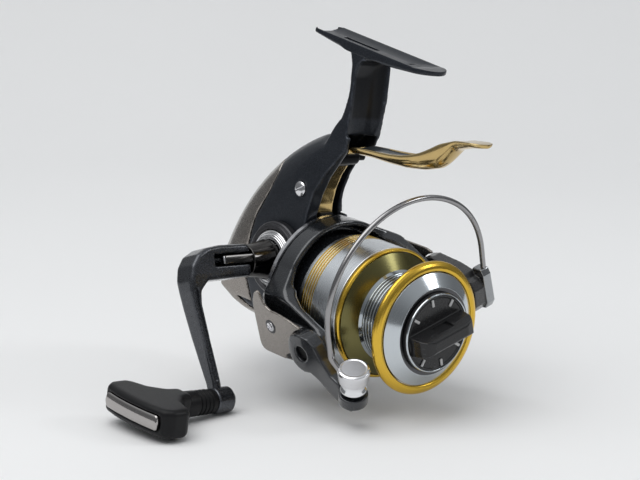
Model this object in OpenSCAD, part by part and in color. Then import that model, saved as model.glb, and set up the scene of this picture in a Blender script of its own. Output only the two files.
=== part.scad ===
// Lever-brake spinning fishing reel, millimetres.
// Row frame: +Y runs back along the spool shaft, -X is the handle side, +Z points up at
// the rod foot.  The origin is the middle of the foot's flat seat.
// Sizes along the reel are first laid out from the front lip of the spool, on the
// spool shaft (y = 0, z = 0); place() then carries everything to the foot seat.

/* [Spool] */
// Outer diameter of the front lip
lip_d = 50; // [49:0.5:51]
// Outer diameter of the long skirt
skirt_d = 49; // [48.6:0.1:49.2]
// Outer diameter of the part the line is wound on
arbor_d = 33; // [28:0.5:35]
// Number of fine ribs on the arbor
arbor_ribs = 6; // [3:1:7]
// Diameter of the spool shaft
shaft_d = 3.5; // [3.4:0.05:3.6]

/* [Foot] */
// Length of the rod foot
foot_len = 63; // [60:1:66]
// Width of the rod foot
foot_w = 14; // [13:0.5:15]
// Nose-down tilt of the foot in degrees
foot_tilt = 4.55; // [4:0.05:5]
// Width of the flat seat along the middle of the foot
land_w = 4; // [3:0.5:5]

/* [Handle] */
// Crank length from the handle axis to the grip axis
crank_len = 50.3; // [46:0.5:52]
// Length of the grip's cross bar
grip_len = 39; // [34:1:42]
// Height of the grip's cross bar
grip_h = 10.6; // [10:0.2:12]

/* [Bail] */
// Thickness of the bail wire
wire_d = 2.1; // [1.8:0.1:2.3]
// Diameter of the line roller
roller_d = 8; // [7:0.5:9]

/* [Clearances] */
// Gap all round a turning or sliding fit
run_gap = 0.05; // [0.04:0.01:0.08]
// Gap left between neighbouring pieces
seat_gap = 0.3; // [0.25:0.05:0.35]

/* [Hidden] */
$fn = 64;

// Foot seat, measured from the lip plane and the shaft.
seat_y = 40;
seat_z = 92.81;
foot_shift = 1;

// Handle and drive gear axis.
axis_y = 70;
axis_z = 8.66;

// Gear train: face gear 46, pinion 10, worm gear 20.
tooth_m = 0.64;
pinion_n = 10;
face_n = 46;
worm_n = 20;
worm_phase = 11.2;
pinion_r = tooth_m * pinion_n / 2;
face_y = tooth_m * face_n / 2;
worm_r = tooth_m * worm_n / 2;
worm_dist = pinion_r + worm_r;
tooth_h = 0.52;
tooth_w = 0.58;
pinion_out = pinion_r + tooth_h;
face_in = 13.6;
face_out = 15.9;
gear_rim = sqrt(face_out * face_out + axis_z * axis_z);
worm_x = -5;
worm_z = -sqrt(worm_dist * worm_dist - worm_x * worm_x);
worm_d = 5;

// Shaft fits.
shaft_r = shaft_d / 2;
pinion_bore = shaft_r + run_gap;
drive_r = 3.5;
drive_bore = drive_r + run_gap;

// Spool along the shaft.
skirt_back = 43.5;
skirt_r = skirt_d / 2;
skirt_in = skirt_r - 1;
lip_r = lip_d / 2;
lip_in = lip_r - 3.5;
ring_in = skirt_r - 0.5;
arbor_r = arbor_d / 2;
rib_step = 1.5;

// Rotor: its arms stand clear of the skirt, and its hub and the neck fit inside it.
rotor_turn = 22;
arm_in = skirt_r + 1.7;
arm_step = arm_in + 4;
arm_out = arm_step + 5.2;
rotor_end = arm_in + 6.3;
rotor_half = arm_in + 2.3;
arm_half = 10.4;
// Cover screw and bail spring, back and up from the shaft in the rotor's frame.
cover_y = 47.2;
cover_h = 2.7;
spring_h = -4.4;
rotor_back = 55.6;
hub_out = skirt_in - 0.7;
hub_in = hub_out - 1.8;
neck_r = hub_in - seat_gap - 0.1;
// Behind the skirt, the drive gear's rim sets the neck and the bores round it.
neck_big = gear_rim + 5.1;
back_bore = neck_big + 0.4;
gear_bore = gear_rim + 2.8;
web_front = 52.8;
web_back = 54.7;

// Bail.
pivot_y = 28;
pivot_h = -1.5;
pivot_r = 2;
bail_s = arm_step + 7.8;
wire_y = 8;
wire_lean = 5;
wire_top = 48.5;
// The hoop is three arcs that meet at 45 degrees.
side_r = 34;
side_x = bail_s - side_r;
top_r = side_r + side_x * sqrt(2);
top_h = wire_top - top_r;
side_h = top_h + side_x;
roll_s = arm_step + 3.4;
roll_h = -6.9;
roll_y = 3.3;
roll_lean = 15;

// Handle.
crank_turn = 23.1;
barrel_x = -17.9;
fold_x = -31.2;
fold_y = 4.4;
fold_pin_r = 0.9;
boss_x = -48;

// Housing.
half_w = 12;
cover_x = 7.6;
back_cy = 22.9;
back_cz = -25.5;
back_r = 92.9;
wall = 2.2;

module place()
  translate([0, -seat_y, -seat_z])
    children();

// From here, z of the child runs along +Y or +X.
module to_y(y = 0)
  translate([0, y, 0])
    rotate([-90, 0, 0])
      children();

module to_x(x = 0)
  translate([x, 0, 0])
    rotate([0, 90, 0])
      children();

// A ring turned about the spool shaft from y0 to y1.
module ring_y(y0, y1, ro, ri = 0)
  to_y(y0)
    difference() {
      cylinder(h = y1 - y0, r = ro);
      if (ri > 0)
        translate([0, 0, -1])
          cylinder(h = y1 - y0 + 2, r = ri);
    }

module ring_x(x0, x1, ro, ri = 0)
  to_x(x0)
    difference() {
      cylinder(h = x1 - x0, r = ro);
      if (ri > 0)
        translate([0, 0, -1])
          cylinder(h = x1 - x0 + 2, r = ri);
    }

// A profile drawn as [radius, y] turned about the spool shaft.
module turned(points)
  rotate([-90, 0, 0])
    rotate_extrude()
      polygon(points);

// A side view drawn as [y, z], x0 to x1 wide.
module side_view(x0, x1)
  translate([x0, 0, 0])
    rotate([90, 0, 90])
      linear_extrude(height = x1 - x0)
        children();

// Hexagonal block along z.
module hex_block(r, h)
  intersection_for (a = [0, 60, 120])
    rotate([0, 0, a])
      translate([-r, -r * 2, 0])
        cube([2 * r, r * 4, h]);

module at_axis()
  translate([0, axis_y, axis_z])
    children();

// Rotor's own frame: -X is the near arm, +Z stands up between the arms.
module at_rotor()
  place()
    rotate([0, -rotor_turn, 0])
      children();

// Crank frame: origin on the handle axis, -Z runs down the crank, +Y points back.
module at_crank()
  place()
    at_axis()
      rotate([-crank_turn, 0, 0])
        children();

// Roller frame: z up the roller's pin.
module at_roller()
  at_rotor()
    translate([-roll_s, roll_y, roll_h])
      rotate([roll_lean, 0, 0])
        children();

// ---- body ----

module body_side()
  polygon([[44.9, 60], [45.4, 55], [49, 49.5], [53, 43.5], [56, 36.5], [58.2, 28],
    [58.4, 22], [58.4, -17], [61, -18.6], [80, -18.8], [90, -17.8], [98, -15],
    [104.6, -10.4], [109, -4], [111.2, 2.5], [111, 8], [109.2, 12.3], [103, 22.1],
    [91.8, 35.5], [83.6, 43.9], [75, 51], [66, 56.8], [58.6, 60], [53.4, 63.6],
    [51, 66.4], [50.2, 68.8], [49.4, 72], [44, 72]]);

module body_front()
  polygon([[-7.2, 75], [-7.4, 68], [-8.4, 58], [-10.6, 48], [-12, 38], [-12, -4],
    [-11, -11], [-8.5, -16.4], [-5, -20], [5, -20], [8.5, -16.4], [11, -11], [12, -4],
    [12, 18], [10.8, 23], [9, 28], [7.9, 33], [7.6, 40], [7.4, 50], [7.4, 58],
    [7.3, 68], [7.2, 75]]);

// Rounded back: an oval swept round a large circle.
module back_sweep(inset = 0)
  translate([0, back_cy, back_cz])
    rotate([90, 0, 90])
      rotate_extrude($fn = 160)
        intersection() {
          translate([0, -60])
            square([140, 120]);
          union() {
            translate([0, inset - half_w])
              square([back_r - 17, 2 * (half_w - inset)]);
            polygon([for (a = [-90:9:90])
              [back_r - 17 + (17 - inset) * cos(a), (half_w - inset) * sin(a)]]);
          }
        }

module body_block(inset = 0)
  intersection() {
    side_view(-half_w, half_w)
      body_side();
    translate([0, 130, 0])
      rotate([90, 0, 0])
        linear_extrude(height = 120)
          body_front();
    back_sweep(inset);
  }

module guard_zone(gap = 0)
  side_view(-20, 20)
    translate([gap, 0])
      polygon([[86, 53], [79.3, 40.2], [81.7, 31.6], [86.6, 22.2], [88.3, 16], [89.4, 8],
        [88.5, -3], [84.5, -14], [80.5, -24], [130, -24], [130, 53]]);

// Side view of the block that the rear guard wraps.
module inner_side(gap = 0)
  polygon([[70, -16.3 + gap], [88, -15.5 + gap], [96.8 - gap / 2, -12.6 + gap],
    [102.8 - gap, -8.4 + gap], [107 - gap, -2.6 + gap / 2], [109 - gap, 4], [109 - gap, 12],
    [104 - gap, 48.7 - gap], [70, 48.7 - gap]]);

// Rod foot, drawn about the seat: y back, z out of the seat.
module foot()
  difference() {
    intersection() {
      side_view(-foot_w / 2, foot_w / 2)
        polygon([[-foot_len / 2, 2.3], [-foot_len / 2, 0.4], [-24, -0.4],
          [-14, -1.5], [-8, -2], [13, -2], [22, -1.1], [foot_len / 2 + 1.4, 0.2],
          [foot_len / 2 + 1.6, 2.3]]);
      translate([0, foot_shift, 0])
        union() {
          translate([-foot_w / 2, -foot_len / 2 + 7, -4])
            cube([foot_w, foot_len - 9, 8]);
          translate([0, -foot_len / 2 + 7.2, -4])
            cylinder(h = 8, r = foot_w / 2);
          translate([-foot_w / 2 + 2, foot_len / 2 - 4, -4])
            cube([foot_w - 4, 4.4, 8]);
          translate([-foot_w / 2 + 2, foot_len / 2 - 2, -4])
            cylinder(h = 8, r = 2);
          translate([foot_w / 2 - 2, foot_len / 2 - 2, -4])
            cylinder(h = 8, r = 2);
        }
    }
    intersection() {
      translate([0, -60, sqrt(14 * 14 - land_w * land_w / 4)])
        rotate([-90, 0, 0])
          cylinder(h = 120, r = 14, $fn = 128);
      translate([-foot_w, -60, 0])
        cube([2 * foot_w, 120, 10]);
    }
    translate([-4.6, -17, -0.5])
      cube([0.9, 34, 3]);
  }

module leg()
  intersection() {
    side_view(-8.6, 8.6)
      polygon([[43.6, 66.2], [42.8, 70.6], [42.2, 76], [42.2, 82], [42.8, 91.8],
        [50.8, 92.5], [49.3, 88], [48.8, 81], [48.8, 75], [49.4, 72], [50.2, 68.8],
        [51, 66.4], [53.4, 63.6], [57.4, 60.5], [56, 55], [44.8, 60]]);
    translate([0, 130, 0])
      rotate([90, 0, 0])
        linear_extrude(height = 120)
          polygon([[-7, 93], [-7.2, 70], [-8.4, 58], [-9, 54], [9, 54], [8.4, 58],
            [7.2, 70], [7, 93]]);
  }

module leg_webs()
  side_view(-5, 5)
    polygon([[49, 92.3], [49, 85], [50.6, 89.6], [54, 92.5]]);

// Space the brake lever moves in.
module lever_space()
  side_view(-6.2, 6.2)
    polygon([[30, 60.9], [50, 60.9], [57.5, 54], [62.3, 44], [66, 36], [67, 23], [50, 23],
      [50, 40], [30, 50]]);

module gear_space()
  at_axis()
    ring_x(1.7, cover_x + 1, gear_rim + 0.6);

module slide_space()
  union() {
    translate([-9.2, 74, -13.6])
      cube([11.4, 24, 21]);
    translate([-7.6, 57.4, -13])
      cube([9, 18, 10]);
  }

module body_housing() {
  color([0.17, 0.18, 0.21])
    place()
      difference() {
        union() {
          difference() {
            body_block();
            guard_zone();
          }
          intersection() {
            body_block(wall + seat_gap);
            side_view(-half_w + wall + seat_gap, cover_x)
              body_side();
            side_view(-20, 20)
              inner_side(seat_gap);
          }
          intersection() {
            ring_y(58.4, 62, 23.9);
            translate([-24, 50, -24])
              cube([24 + cover_x, 20, 48]);
          }
          intersection() {
            union() {
              ring_y(43.4, 58.6, neck_r);
              ring_y(web_back + seat_gap, 58.6, neck_big);
            }
            translate([-24, 40, -24])
              cube([24 + cover_x, 20, 48]);
          }
          leg();
          leg_webs();
          translate([0, seat_y, seat_z])
            rotate([foot_tilt, 0, 0])
              foot();
        }
        // removable cover's side
        translate([cover_x, 42.4, -24])
          cube([20, 80, 52]);
        lever_space();
        // the far cheek stands back from the lever
        side_view(4, 13)
          polygon([[40, 60], [51, 54], [57, 44.5], [60, 37], [61, 30], [61, 23],
            [40, 23]]);
        gear_space();
        slide_space();
        // leg's open front: a sweep from the thin near edge to the far cheek
        intersection() {
          translate([0, 0, 60.8])
            linear_extrude(height = 28.8)
              polygon([[-12, 46.3], [-7.2, 46.3], [-6, 46.8], [-4, 47.1], [-1.4, 47],
                [1.2, 46.5], [3.2, 45.6], [4.8, 44.3], [5.8, 42.7], [6.2, 41],
                [6.2, 38], [-12, 38]]);
          side_view(-12, 8)
            polygon([[36, 60.8], [60, 60.8], [60, 84], [46.8, 84], [45.6, 87.6],
              [43.6, 89.6], [36, 89.6]]);
        }
        // shaft way, bearings and clutch seats
        ring_y(40, 100, 2.3);
        ring_y(43.3, 47.7, 9 + seat_gap);
        ring_y(47.6, 51.2, 7 + seat_gap);
        ring_y(50, 64.6, pinion_out + 0.6);
        // worm gear and worm
        translate([worm_x, 0, worm_z])
          ring_y(57.3, 62.4, worm_r + tooth_h + 0.5);
        translate([worm_x, 0, worm_z])
          ring_y(55.2, 98, 2.2 + seat_gap);
        // handle side: bearing and shaft way
        at_axis()
          ring_x(-20, -6.6, 7 + seat_gap);
        at_axis()
          ring_x(-14, 3, drive_r + 0.6);
        at_axis()
          ring_x(-3.4, 3, 5.7);
        at_axis()
          ring_x(-30, -half_w, 14.2 + seat_gap);
        // side screw's hole
        translate([0, 63.2, 37.3])
          ring_x(-14, -10.7, 2.9);
        translate([0, 63.2, 37.3])
          ring_x(-14, -6.5, 1.35);
        // lever pin's hole
        translate([0, 54.4, 51])
          ring_x(-9.6, 9.6, 1.5 + seat_gap * 0.1);
        // guard screw's hole
        translate([0, 94, -2])
          ring_y(0, 30, 1.35);
        // guide rod's hole
        translate([-5.2, 0, 3.6])
          ring_y(73, 99, 1.03);
      }
}

module side_cover() {
  color([0.17, 0.18, 0.21])
    place()
      difference() {
        intersection() {
          union() {
            difference() {
              body_block();
              guard_zone();
            }
            ring_y(58.4, 62, 23.9);
            ring_y(web_back + seat_gap, 58.6, neck_big);
            ring_y(43.4, 58.6, neck_r);
          }
          translate([cover_x + seat_gap, 42.7, -24])
            cube([20, 80, 51.7]);
          union() {
            translate([0, 50, -30])
              cube([20, 80, 90]);
            ring_y(40, 60, 30);
          }
        }
        at_axis()
          ring_x(0, 13, 5.5 + seat_gap);
        ring_y(43.3, 47.7, 9 + seat_gap);
        // screws' holes
        for (p = [[64, -14.6], [79, 17.6]])
          translate([0, p[0], p[1]])
            ring_x(7, 13, 1.35);
        for (p = [[64, -14.6], [79, 17.6]])
          translate([0, p[0], p[1]])
            ring_x(10.2, 13, 2.4);
      }
}

module rear_guard() {
  color([0.46, 0.42, 0.38])
    place()
      difference() {
        intersection() {
          body_block();
          guard_zone(seat_gap);
        }
        intersection() {
          body_block(wall);
          side_view(-half_w + wall, half_w - wall)
            body_side();
          side_view(-20, 20)
            inner_side();
        }
        translate([0, 0, -2])
          ring_y(100, 120, 1.35);
        translate([0, 0, -2])
          ring_y(112, 120, 2.5);
      }
}

module guard_screw() {
  color([0.75, 0.75, 0.76])
    place()
      translate([0, 0, -2])
        difference() {
          union() {
            ring_y(102, 113, 1.3);
            ring_y(112.3, 113.6, 2.3);
          }
          translate([-0.3, 113.1, -3])
            cube([0.6, 2, 6]);
        }
}

module side_screw() {
  color([0.75, 0.75, 0.76])
    place()
      translate([0, 63.2, 37.3])
        difference() {
          union() {
            ring_x(-11, -6.8, 1.3);
            intersection() {
              ring_x(-12.8, -11, 2.6);
              translate([-8.6, 0, 0])
                sphere(r = 4.2);
            }
          }
          translate([-14, -0.35, -4])
            cube([1.9, 0.7, 8]);
        }
}

module cover_screws() {
  color([0.6, 0.6, 0.62])
    place()
      for (p = [[64, -14.6], [79, 17.6]])
        translate([0, p[0], p[1]])
          difference() {
            union() {
              ring_x(8, 11.6, 1.3);
              ring_x(10.6, 11.8, 2.2);
            }
            translate([11.2, -0.3, -1.4])
              cube([2, 0.6, 2.8]);
            translate([11.2, -1.4, -0.3])
              cube([2, 2.8, 0.6]);
          }
}

// Black boss ring the handle enters.
module handle_collar() {
  color([0.09, 0.09, 0.1])
    place()
      at_axis()
        difference() {
          union() {
            ring_x(-15.2, -half_w - seat_gap, 14.2);
            ring_x(-16.2, -15.2, 13.2);
          }
          ring_x(-20, -10, 7 + seat_gap);
          ring_x(-20, -15, 10.9 + seat_gap);
        }
}

module seal_ring() {
  color([0.8, 0.8, 0.82])
    place()
      at_axis()
        difference() {
          union() {
            ring_x(-16.5, -15.3, 10.9);
            ring_x(-17.5, -16.5, 9.9);
          }
          ring_x(-20, -10, 7.6);
        }
}

module gear_bearing_left() {
  color([0.7, 0.7, 0.72])
    place()
      at_axis()
        difference() {
          ring_x(-11.6, -7, 7);
          ring_x(-13, -5, drive_bore);
          ring_x(-11.7, -11.2, 5.9);
        }
}

module gear_bearing_right() {
  color([0.7, 0.7, 0.72])
    place()
      at_axis()
        difference() {
          ring_x(8.2, 10.9, 5.5);
          ring_x(5, 13, 3 + run_gap);
        }
}

// Screwed cap on the side away from the handle.
module shaft_cap() {
  color([0.12, 0.12, 0.13])
    place()
      at_axis()
        difference() {
          union() {
            ring_x(11.3, 12.3, 5.4);
            ring_x(12.3, 14.6, 7.4);
          }
          translate([13.9, -5, -0.6])
            cube([2, 10, 1.2]);
        }
}

module pinion_bearing() {
  color([0.7, 0.7, 0.72])
    place()
      difference() {
        ring_y(48, 50.9, 7);
        ring_y(47, 52, 3 + run_gap);
        ring_y(47.9, 48.4, 5.8);
      }
}

module clutch_housing() {
  color([0.35, 0.36, 0.38])
    place()
      difference() {
        ring_y(43.7, 47.4, 9);
        ring_y(43, 48, 5.4);
      }
}

module lever_pin() {
  color([0.7, 0.7, 0.72])
    place()
      translate([0, 54.4, 51])
        ring_x(-9.3, 9.3, 1.5);
}

module guide_rod() {
  color([0.7, 0.7, 0.72])
    place()
      translate([-5.2, 0, 3.6])
        ring_y(73.3, 98.7, 1);
}

module worm_bushes() {
  color([0.78, 0.62, 0.3])
    place()
      translate([worm_x, 0, worm_z])
        for (y = [55.4, 95.2])
          ring_y(y, y + 1.8, 2.2, 1.2 + run_gap);
}

// ---- drive ----

module face_teeth()
  translate([0, 0, -axis_z])
    for (i = [0:face_n - 1])
      translate([0, 0, axis_z])
        rotate([360 / face_n * (i + 0.5), 0, 0])
          translate([pinion_r - tooth_h, -face_out, -axis_z - tooth_w / 2])
            cube([2 * tooth_h + 0.4, face_out - face_in, tooth_w]);

module drive_gear() {
  color([0.62, 0.6, 0.55])
    place()
      at_axis()
        difference() {
          union() {
            ring_x(pinion_r + tooth_h + 0.1, 6.8, gear_rim);
            ring_x(-3, 7.4, 5.2);
            face_teeth();
          }
          ring_x(3.5, 4.6, 14, 6.4);
          ring_x(-4, 8, 3.2);
          for (a = [0:60:300])
            rotate([a, 0, 0])
              translate([0, 10.2, 0])
                ring_x(2, 8, 2.4);
        }
}

module drive_shaft() {
  color([0.66, 0.66, 0.68])
    place()
      at_axis()
        difference() {
          union() {
            ring_x(-20, -3.2, drive_r);
            ring_x(-3.3, 11, 3);
          }
          ring_x(-21, -8, 1.5);
        }
}

// Dark polished barrel, with the latch bar that lies in the crank's channel.
module handle_barrel() {
  color([0.2, 0.2, 0.21])
    at_crank()
      difference() {
        union() {
          rotate([0, -90, 0])
            rotate_extrude()
              polygon([[0, -barrel_x], [7.2, -barrel_x], [7.6, 19.2], [7.2, 22],
                [6.5, 28], [6.1, 29.2], [0, 29.2]]);
          translate([fold_x, fold_y - 1.5, -2.2])
            cube([2.4, 3, 4.4]);
          translate([fold_x, fold_y, -2.2])
            cylinder(h = 4.4, r = 1.5);
          translate([-43, -5.4, -1.2])
            cube([14.4, 2.6, 3.4]);
        }
        ring_x(-21, -17, drive_r + 0.02);
        translate([fold_x, fold_y, -5])
          cylinder(h = 10, r = fold_pin_r + run_gap);
      }
}

module fold_pin() {
  color([0.7, 0.7, 0.72])
    at_crank()
      translate([fold_x, fold_y, -4.2])
        cylinder(h = 8.4, r = fold_pin_r);
}

module crank_side()
  polygon([[-30.1, 6.1], [-44, 6.4], [-50, 5.8], [-55, 3.4], [-58, -0.6], [-59.4, -6],
    [-58.2, -16], [-55.8, -30], [-53.6, 8.3 - crank_len], [-53.4, -crank_len - 1.7],
    [-48.2, -crank_len - 1.7], [-48.8, 8.3 - crank_len], [-51, -28], [-53, -14],
    [-52.2, -9.6], [-48.6, -6.6], [-30.1, -6.1]]);

module handle_arm() {
  color([0.16, 0.17, 0.19])
    at_crank()
      difference() {
        union() {
          intersection() {
            translate([0, 6, 0])
              rotate([90, 0, 0])
                linear_extrude(height = 12)
                  crank_side();
            side_view(-60, -20)
              polygon([[-5.7, 8], [5.7, 8], [5.2, -4], [4.3, -9], [3.5, -20],
                [2.9, 10.3 - crank_len], [2.9, -crank_len], [-2.9, -crank_len],
                [-2.9, 10.3 - crank_len], [-3.5, -20], [-4.3, -9],
                [-5.2, -4]]);
          }
          translate([0, 0, -crank_len])
            ring_x(-53.6, -46.2, 5);
        }
        // open channel of the leg
        translate([-47, -8, -2.9])
          cube([20, 10.4, 6.4]);
        // hollow along the crank's face
        intersection() {
          translate([0, -2.4, 0])
            rotate([90, 0, 0])
              linear_extrude(height = 6)
                polygon([[-55.2, -12], [-56, -14], [-52.6, 10.3 - crank_len],
                  [-50.8, 10.3 - crank_len], [-53.8, -16]]);
        }
        // hinge ears
        translate([fold_x - 1.9, fold_y - 1.9, -2.5])
          cube([4, 6, 5]);
        translate([fold_x, fold_y, -4.4])
          cylinder(h = 8.8, r = fold_pin_r + 0.02);
        translate([0, 0, -crank_len])
          ring_x(-60, -40, 2);
      }
}

module grip_shaft() {
  color([0.72, 0.72, 0.74])
    at_crank()
      translate([0, 0, -crank_len])
        union() {
          ring_x(-82, -45.6, 1.97);
          ring_x(-45.9, -45.2, 3.4);
        }
}

// The grip hangs level on its own pin: a ribbed neck opening into a cross bar.
module at_grip()
  at_crank()
    translate([0, 0, -crank_len])
      rotate([crank_turn, 0, 0])
        children();

module grip() {
  color([0.05, 0.05, 0.055])
    at_grip()
      difference() {
        union() {
          ring_x(-57.6, -53.9, 4.6);
          ring_x(-58.4, -57.6, 4.2);
          ring_x(-59.8, -58.4, 4.8);
          ring_x(-60.4, -59.8, 4.2);
          ring_x(-61.8, -60.4, 4.9);
          ring_x(-62.4, -61.8, 4.3);
          ring_x(-74, -62.4, 5);
          intersection() {
            translate([0, 0, -grip_h / 2])
              linear_extrude(height = grip_h)
                polygon([[-68, -5], [-73, -7], [-76.5, -grip_len / 2 + 1.5],
                  [-78.5, -grip_len / 2], [-88.5, -grip_len / 2], [-90.5, -18],
                  [-91, -10], [-91, 10], [-90.5, 18], [-88.5, grip_len / 2],
                  [-78.5, grip_len / 2], [-76.5, grip_len / 2 - 1.5], [-73, 7],
                  [-68, 5]]);
            translate([0, 30, 0])
              rotate([90, 0, 0])
                linear_extrude(height = 60)
                  polygon([[-60, -5], [-76, -5.3], [-88.5, -5.3], [-91, -3.6],
                    [-91, 3.6], [-88.5, 5.3], [-76, 5.3], [-60, 5]]);
          }
        }
        ring_x(-82.3, -50, 1.97 + run_gap);
        translate([-95, -16, -3])
          cube([5.2, 32, 6]);
      }
}

module grip_plate() {
  color([0.62, 0.6, 0.6])
    at_grip()
      intersection() {
        translate([-91.8, -15.7, -2.7])
          cube([1.7, 31.4, 5.4]);
        translate([-40, 0, 0])
          to_y(-20)
            cylinder(h = 40, r = 51.8, $fn = 160);
      }
}

// ---- rotor ----

module rotor_outline(grow = 0)
  union() {
    circle(r = rotor_half + grow, $fn = 128);
    for (m = [0, 1])
      mirror([m, 0])
        polygon([[0, -rotor_half * 0.71],
          [rotor_half - 8.5 + grow, 8.2 - rotor_half - grow * 0.4],
          [rotor_end + grow, -arm_half - grow * 0.5],
          [rotor_end + grow, arm_half + grow * 0.5],
          [rotor_half - 8.5 + grow, rotor_half - 8.2 + grow * 0.4],
          [0, rotor_half * 0.71]]);
  }

module outline_y(y0, y1, grow)
  to_y(y0)
    linear_extrude(height = y1 - y0)
      rotor_outline(grow);

// Rim seen from above: level behind, swept forward along both arms.
module rim_plan()
  for (m = [0, 1])
    mirror([m, 0])
      polygon([[-1, 46.8], [0, 46.8], [arm_in - 12.2, 46.3], [arm_in - 6.2, 44.6],
        [arm_in - 2.2, 41], [arm_in - 0.2, 36], [arm_in - 0.2, 19.8], [50, 19.8],
        [50, 60], [-1, 60]]);

// Rim seen from the arm's side.
module rim_side()
  polygon([[pivot_y, -9], [33, -9.6], [39.6, -12.4], [44.4, -15], [46.2, -20],
    [46.8, -32], [60, -32], [60, 32], [46.8, 32], [46.2, 20], [44.4, 15], [39.6, 12.4],
    [33, 9], [pivot_y, 6.4], [23, 4.4], [21, 1], [20.6, -1.5], [21, -5], [23, -7.6]]);

// Room for the bail arm's neck when the bail is thrown open.
module arm_notch()
  polygon([[20, -30], [20, -4.4], [36, -4.4], [41, -7.4], [43.4, -13], [43.4, -30]]);

// Shoulder of each arm, lower than the cover: the rim's band stands free above it.
module arm_shoulder()
  translate([arm_in + 3, 25, 4.8])
    cube([20, 40, 60]);

module rotor() {
  color([0.13, 0.14, 0.16])
    at_rotor()
      difference() {
        union() {
          intersection() {
            difference() {
              union() {
                outline_y(19, 54.4, 0);
                outline_y(54.4, rotor_back, -1.2);
              }
              ring_y(10, web_front, arm_in);
            }
            translate([0, 0, -60])
              linear_extrude(height = 120)
                rim_plan();
            side_view(-60, 60)
              rim_side();
          }
          ring_y(38.4, web_back, hub_out);
        }
        ring_y(41, 60, hub_in);
        ring_y(web_back, 60, back_bore);
        ring_y(web_front - 1.5, 60, gear_bore);
        ring_y(30, 45, 3.02);
        // pivot holes in the arms, and the near arm's spring pocket
        translate([0, pivot_y, pivot_h])
          ring_x(-45, 45, pivot_r + 0.02);
        for (m = [0, 1])
          mirror([m, 0, 0]) {
            translate([arm_step, 0, -20])
              cube([10, pivot_y + 1, 40]);
            side_view(arm_step, 45)
              arm_notch();
            arm_shoulder();
            translate([0, pivot_y, pivot_h])
              ring_x(arm_step, 45, 8.2);
            translate([0, cover_y, cover_h])
              ring_x(arm_in + 1.8, 45, 1.02);
          }
        translate([0, 50, spring_h])
          ring_x(-45, 0.4 - arm_step, 4.6);
        // room for the cover's rear wall
        translate([-50, 54.6, -12])
          cube([50 - arm_in - 3.2, 4, 24]);
      }
}

module spur(n, r, phase, y0, y1)
  union() {
    ring_y(y0, y1, r - tooth_h);
    for (i = [0:n - 1])
      rotate([0, phase + 360 / n * i, 0])
        translate([0, y0, -tooth_w / 2])
          cube([r + tooth_h, y1 - y0, tooth_w]);
  }

module pinion() {
  color([0.72, 0.58, 0.28])
    place()
      difference() {
        union() {
          spur(pinion_n, pinion_r, 0, 51.4, 63);
          ring_y(36, 51.5, 3);
          ring_y(63, 64, 2.6);
        }
        ring_y(30, 70, pinion_bore);
      }
}

module rotor_nut() {
  color([0.7, 0.7, 0.72])
    at_rotor()
      to_y(34.6)
        difference() {
          hex_block(5, 3.5);
          translate([0, 0, -1])
            cylinder(h = 6, r = 3.02);
        }
}

module clutch_sleeve() {
  color([0.6, 0.6, 0.62])
    place()
      difference() {
        ring_y(43.6, 47.6, 5.3);
        ring_y(40, 50, 3.02);
      }
}

module brake_ring() {
  color([0.5, 0.5, 0.5])
    place()
      ring_y(rotor_back + 0.02, 57.2, rotor_half - 0.3, back_bore + 0.6);
}

// Side view of both arm covers, higher at the rear.
module cover_side()
  polygon([[30, -9.4], [52.6, -9.4], [54.6, -8.8], [55.6, -7.4], [55.9, -5.6],
    [55.9, 8], [55.2, 12], [53.8, 15], [52.2, 16.4], [50.8, 16], [50, 13.6],
    [48.6, 11], [46, 9.8], [41, 9.5], [36, 8.8], [30, 7.2]]);

module arm_cover() {
  color([0.5, 0.45, 0.4])
    at_rotor()
      difference() {
        union() {
          side_view(-rotor_end - 1.3, -rotor_end - 0.3)
            cover_side();
          // rear wall, rounded into the plate
          intersection() {
            translate([-rotor_end - 1.3, 54.9, -9])
              cube([rotor_end - arm_in - 2.2, 1, 24]);
            side_view(-40, -20)
              cover_side();
          }
        }
        translate([0, pivot_y, pivot_h])
          ring_x(-45, -30, 8.2);
        side_view(-40, -30)
          arm_notch();
        translate([0, cover_y, cover_h])
          ring_x(-45, -30, 1.35);
      }
}

module cross_cuts()
  for (a = [0, 90])
    rotate([0, 0, a])
      translate([-1.3, -0.25, -0.1])
        cube([2.6, 0.5, 0.8]);

module arm_cover_screw() {
  color([0.7, 0.7, 0.72])
    at_rotor()
      translate([-rotor_end - 2.3, cover_y, cover_h])
        rotate([0, 90, 0])
          difference() {
            union() {
              cylinder(h = 1, r = 2.4);
              cylinder(h = 5.6, r = 1);
            }
            cross_cuts();
          }
}

module far_arm_cover() {
  color([0.5, 0.45, 0.4])
    at_rotor()
      difference() {
        side_view(rotor_end + 0.3, rotor_end + 1.3)
          intersection() {
            cover_side();
            translate([20, -20])
              square([35, 28]);
          }
        translate([0, pivot_y, pivot_h])
          ring_x(30, 40, 8.2);
        side_view(30, 40)
          arm_notch();
        translate([0, cover_y, cover_h])
          ring_x(30, 45, 1.35);
      }
}

module far_cover_screw() {
  color([0.7, 0.7, 0.72])
    at_rotor()
      translate([rotor_end + 2.3, cover_y, cover_h])
        rotate([0, -90, 0])
          difference() {
            union() {
              cylinder(h = 1, r = 2.4);
              cylinder(h = 5.6, r = 1);
            }
            cross_cuts();
          }
}

module bail_pivot_near() {
  color([0.3, 0.3, 0.32])
    at_rotor()
      translate([0, pivot_y, pivot_h])
        union() {
          ring_x(-arm_step - 5, -arm_in - 0.4, pivot_r);
          ring_x(-arm_step - 5, -arm_step - 4.4, 2.7);
        }
}

module bail_pivot_far() {
  color([0.3, 0.3, 0.32])
    at_rotor()
      translate([0, pivot_y, pivot_h])
        union() {
          ring_x(arm_in + 0.4, arm_step + 5, pivot_r);
          ring_x(arm_step + 4.4, arm_step + 5, 2.7);
        }
}

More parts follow.
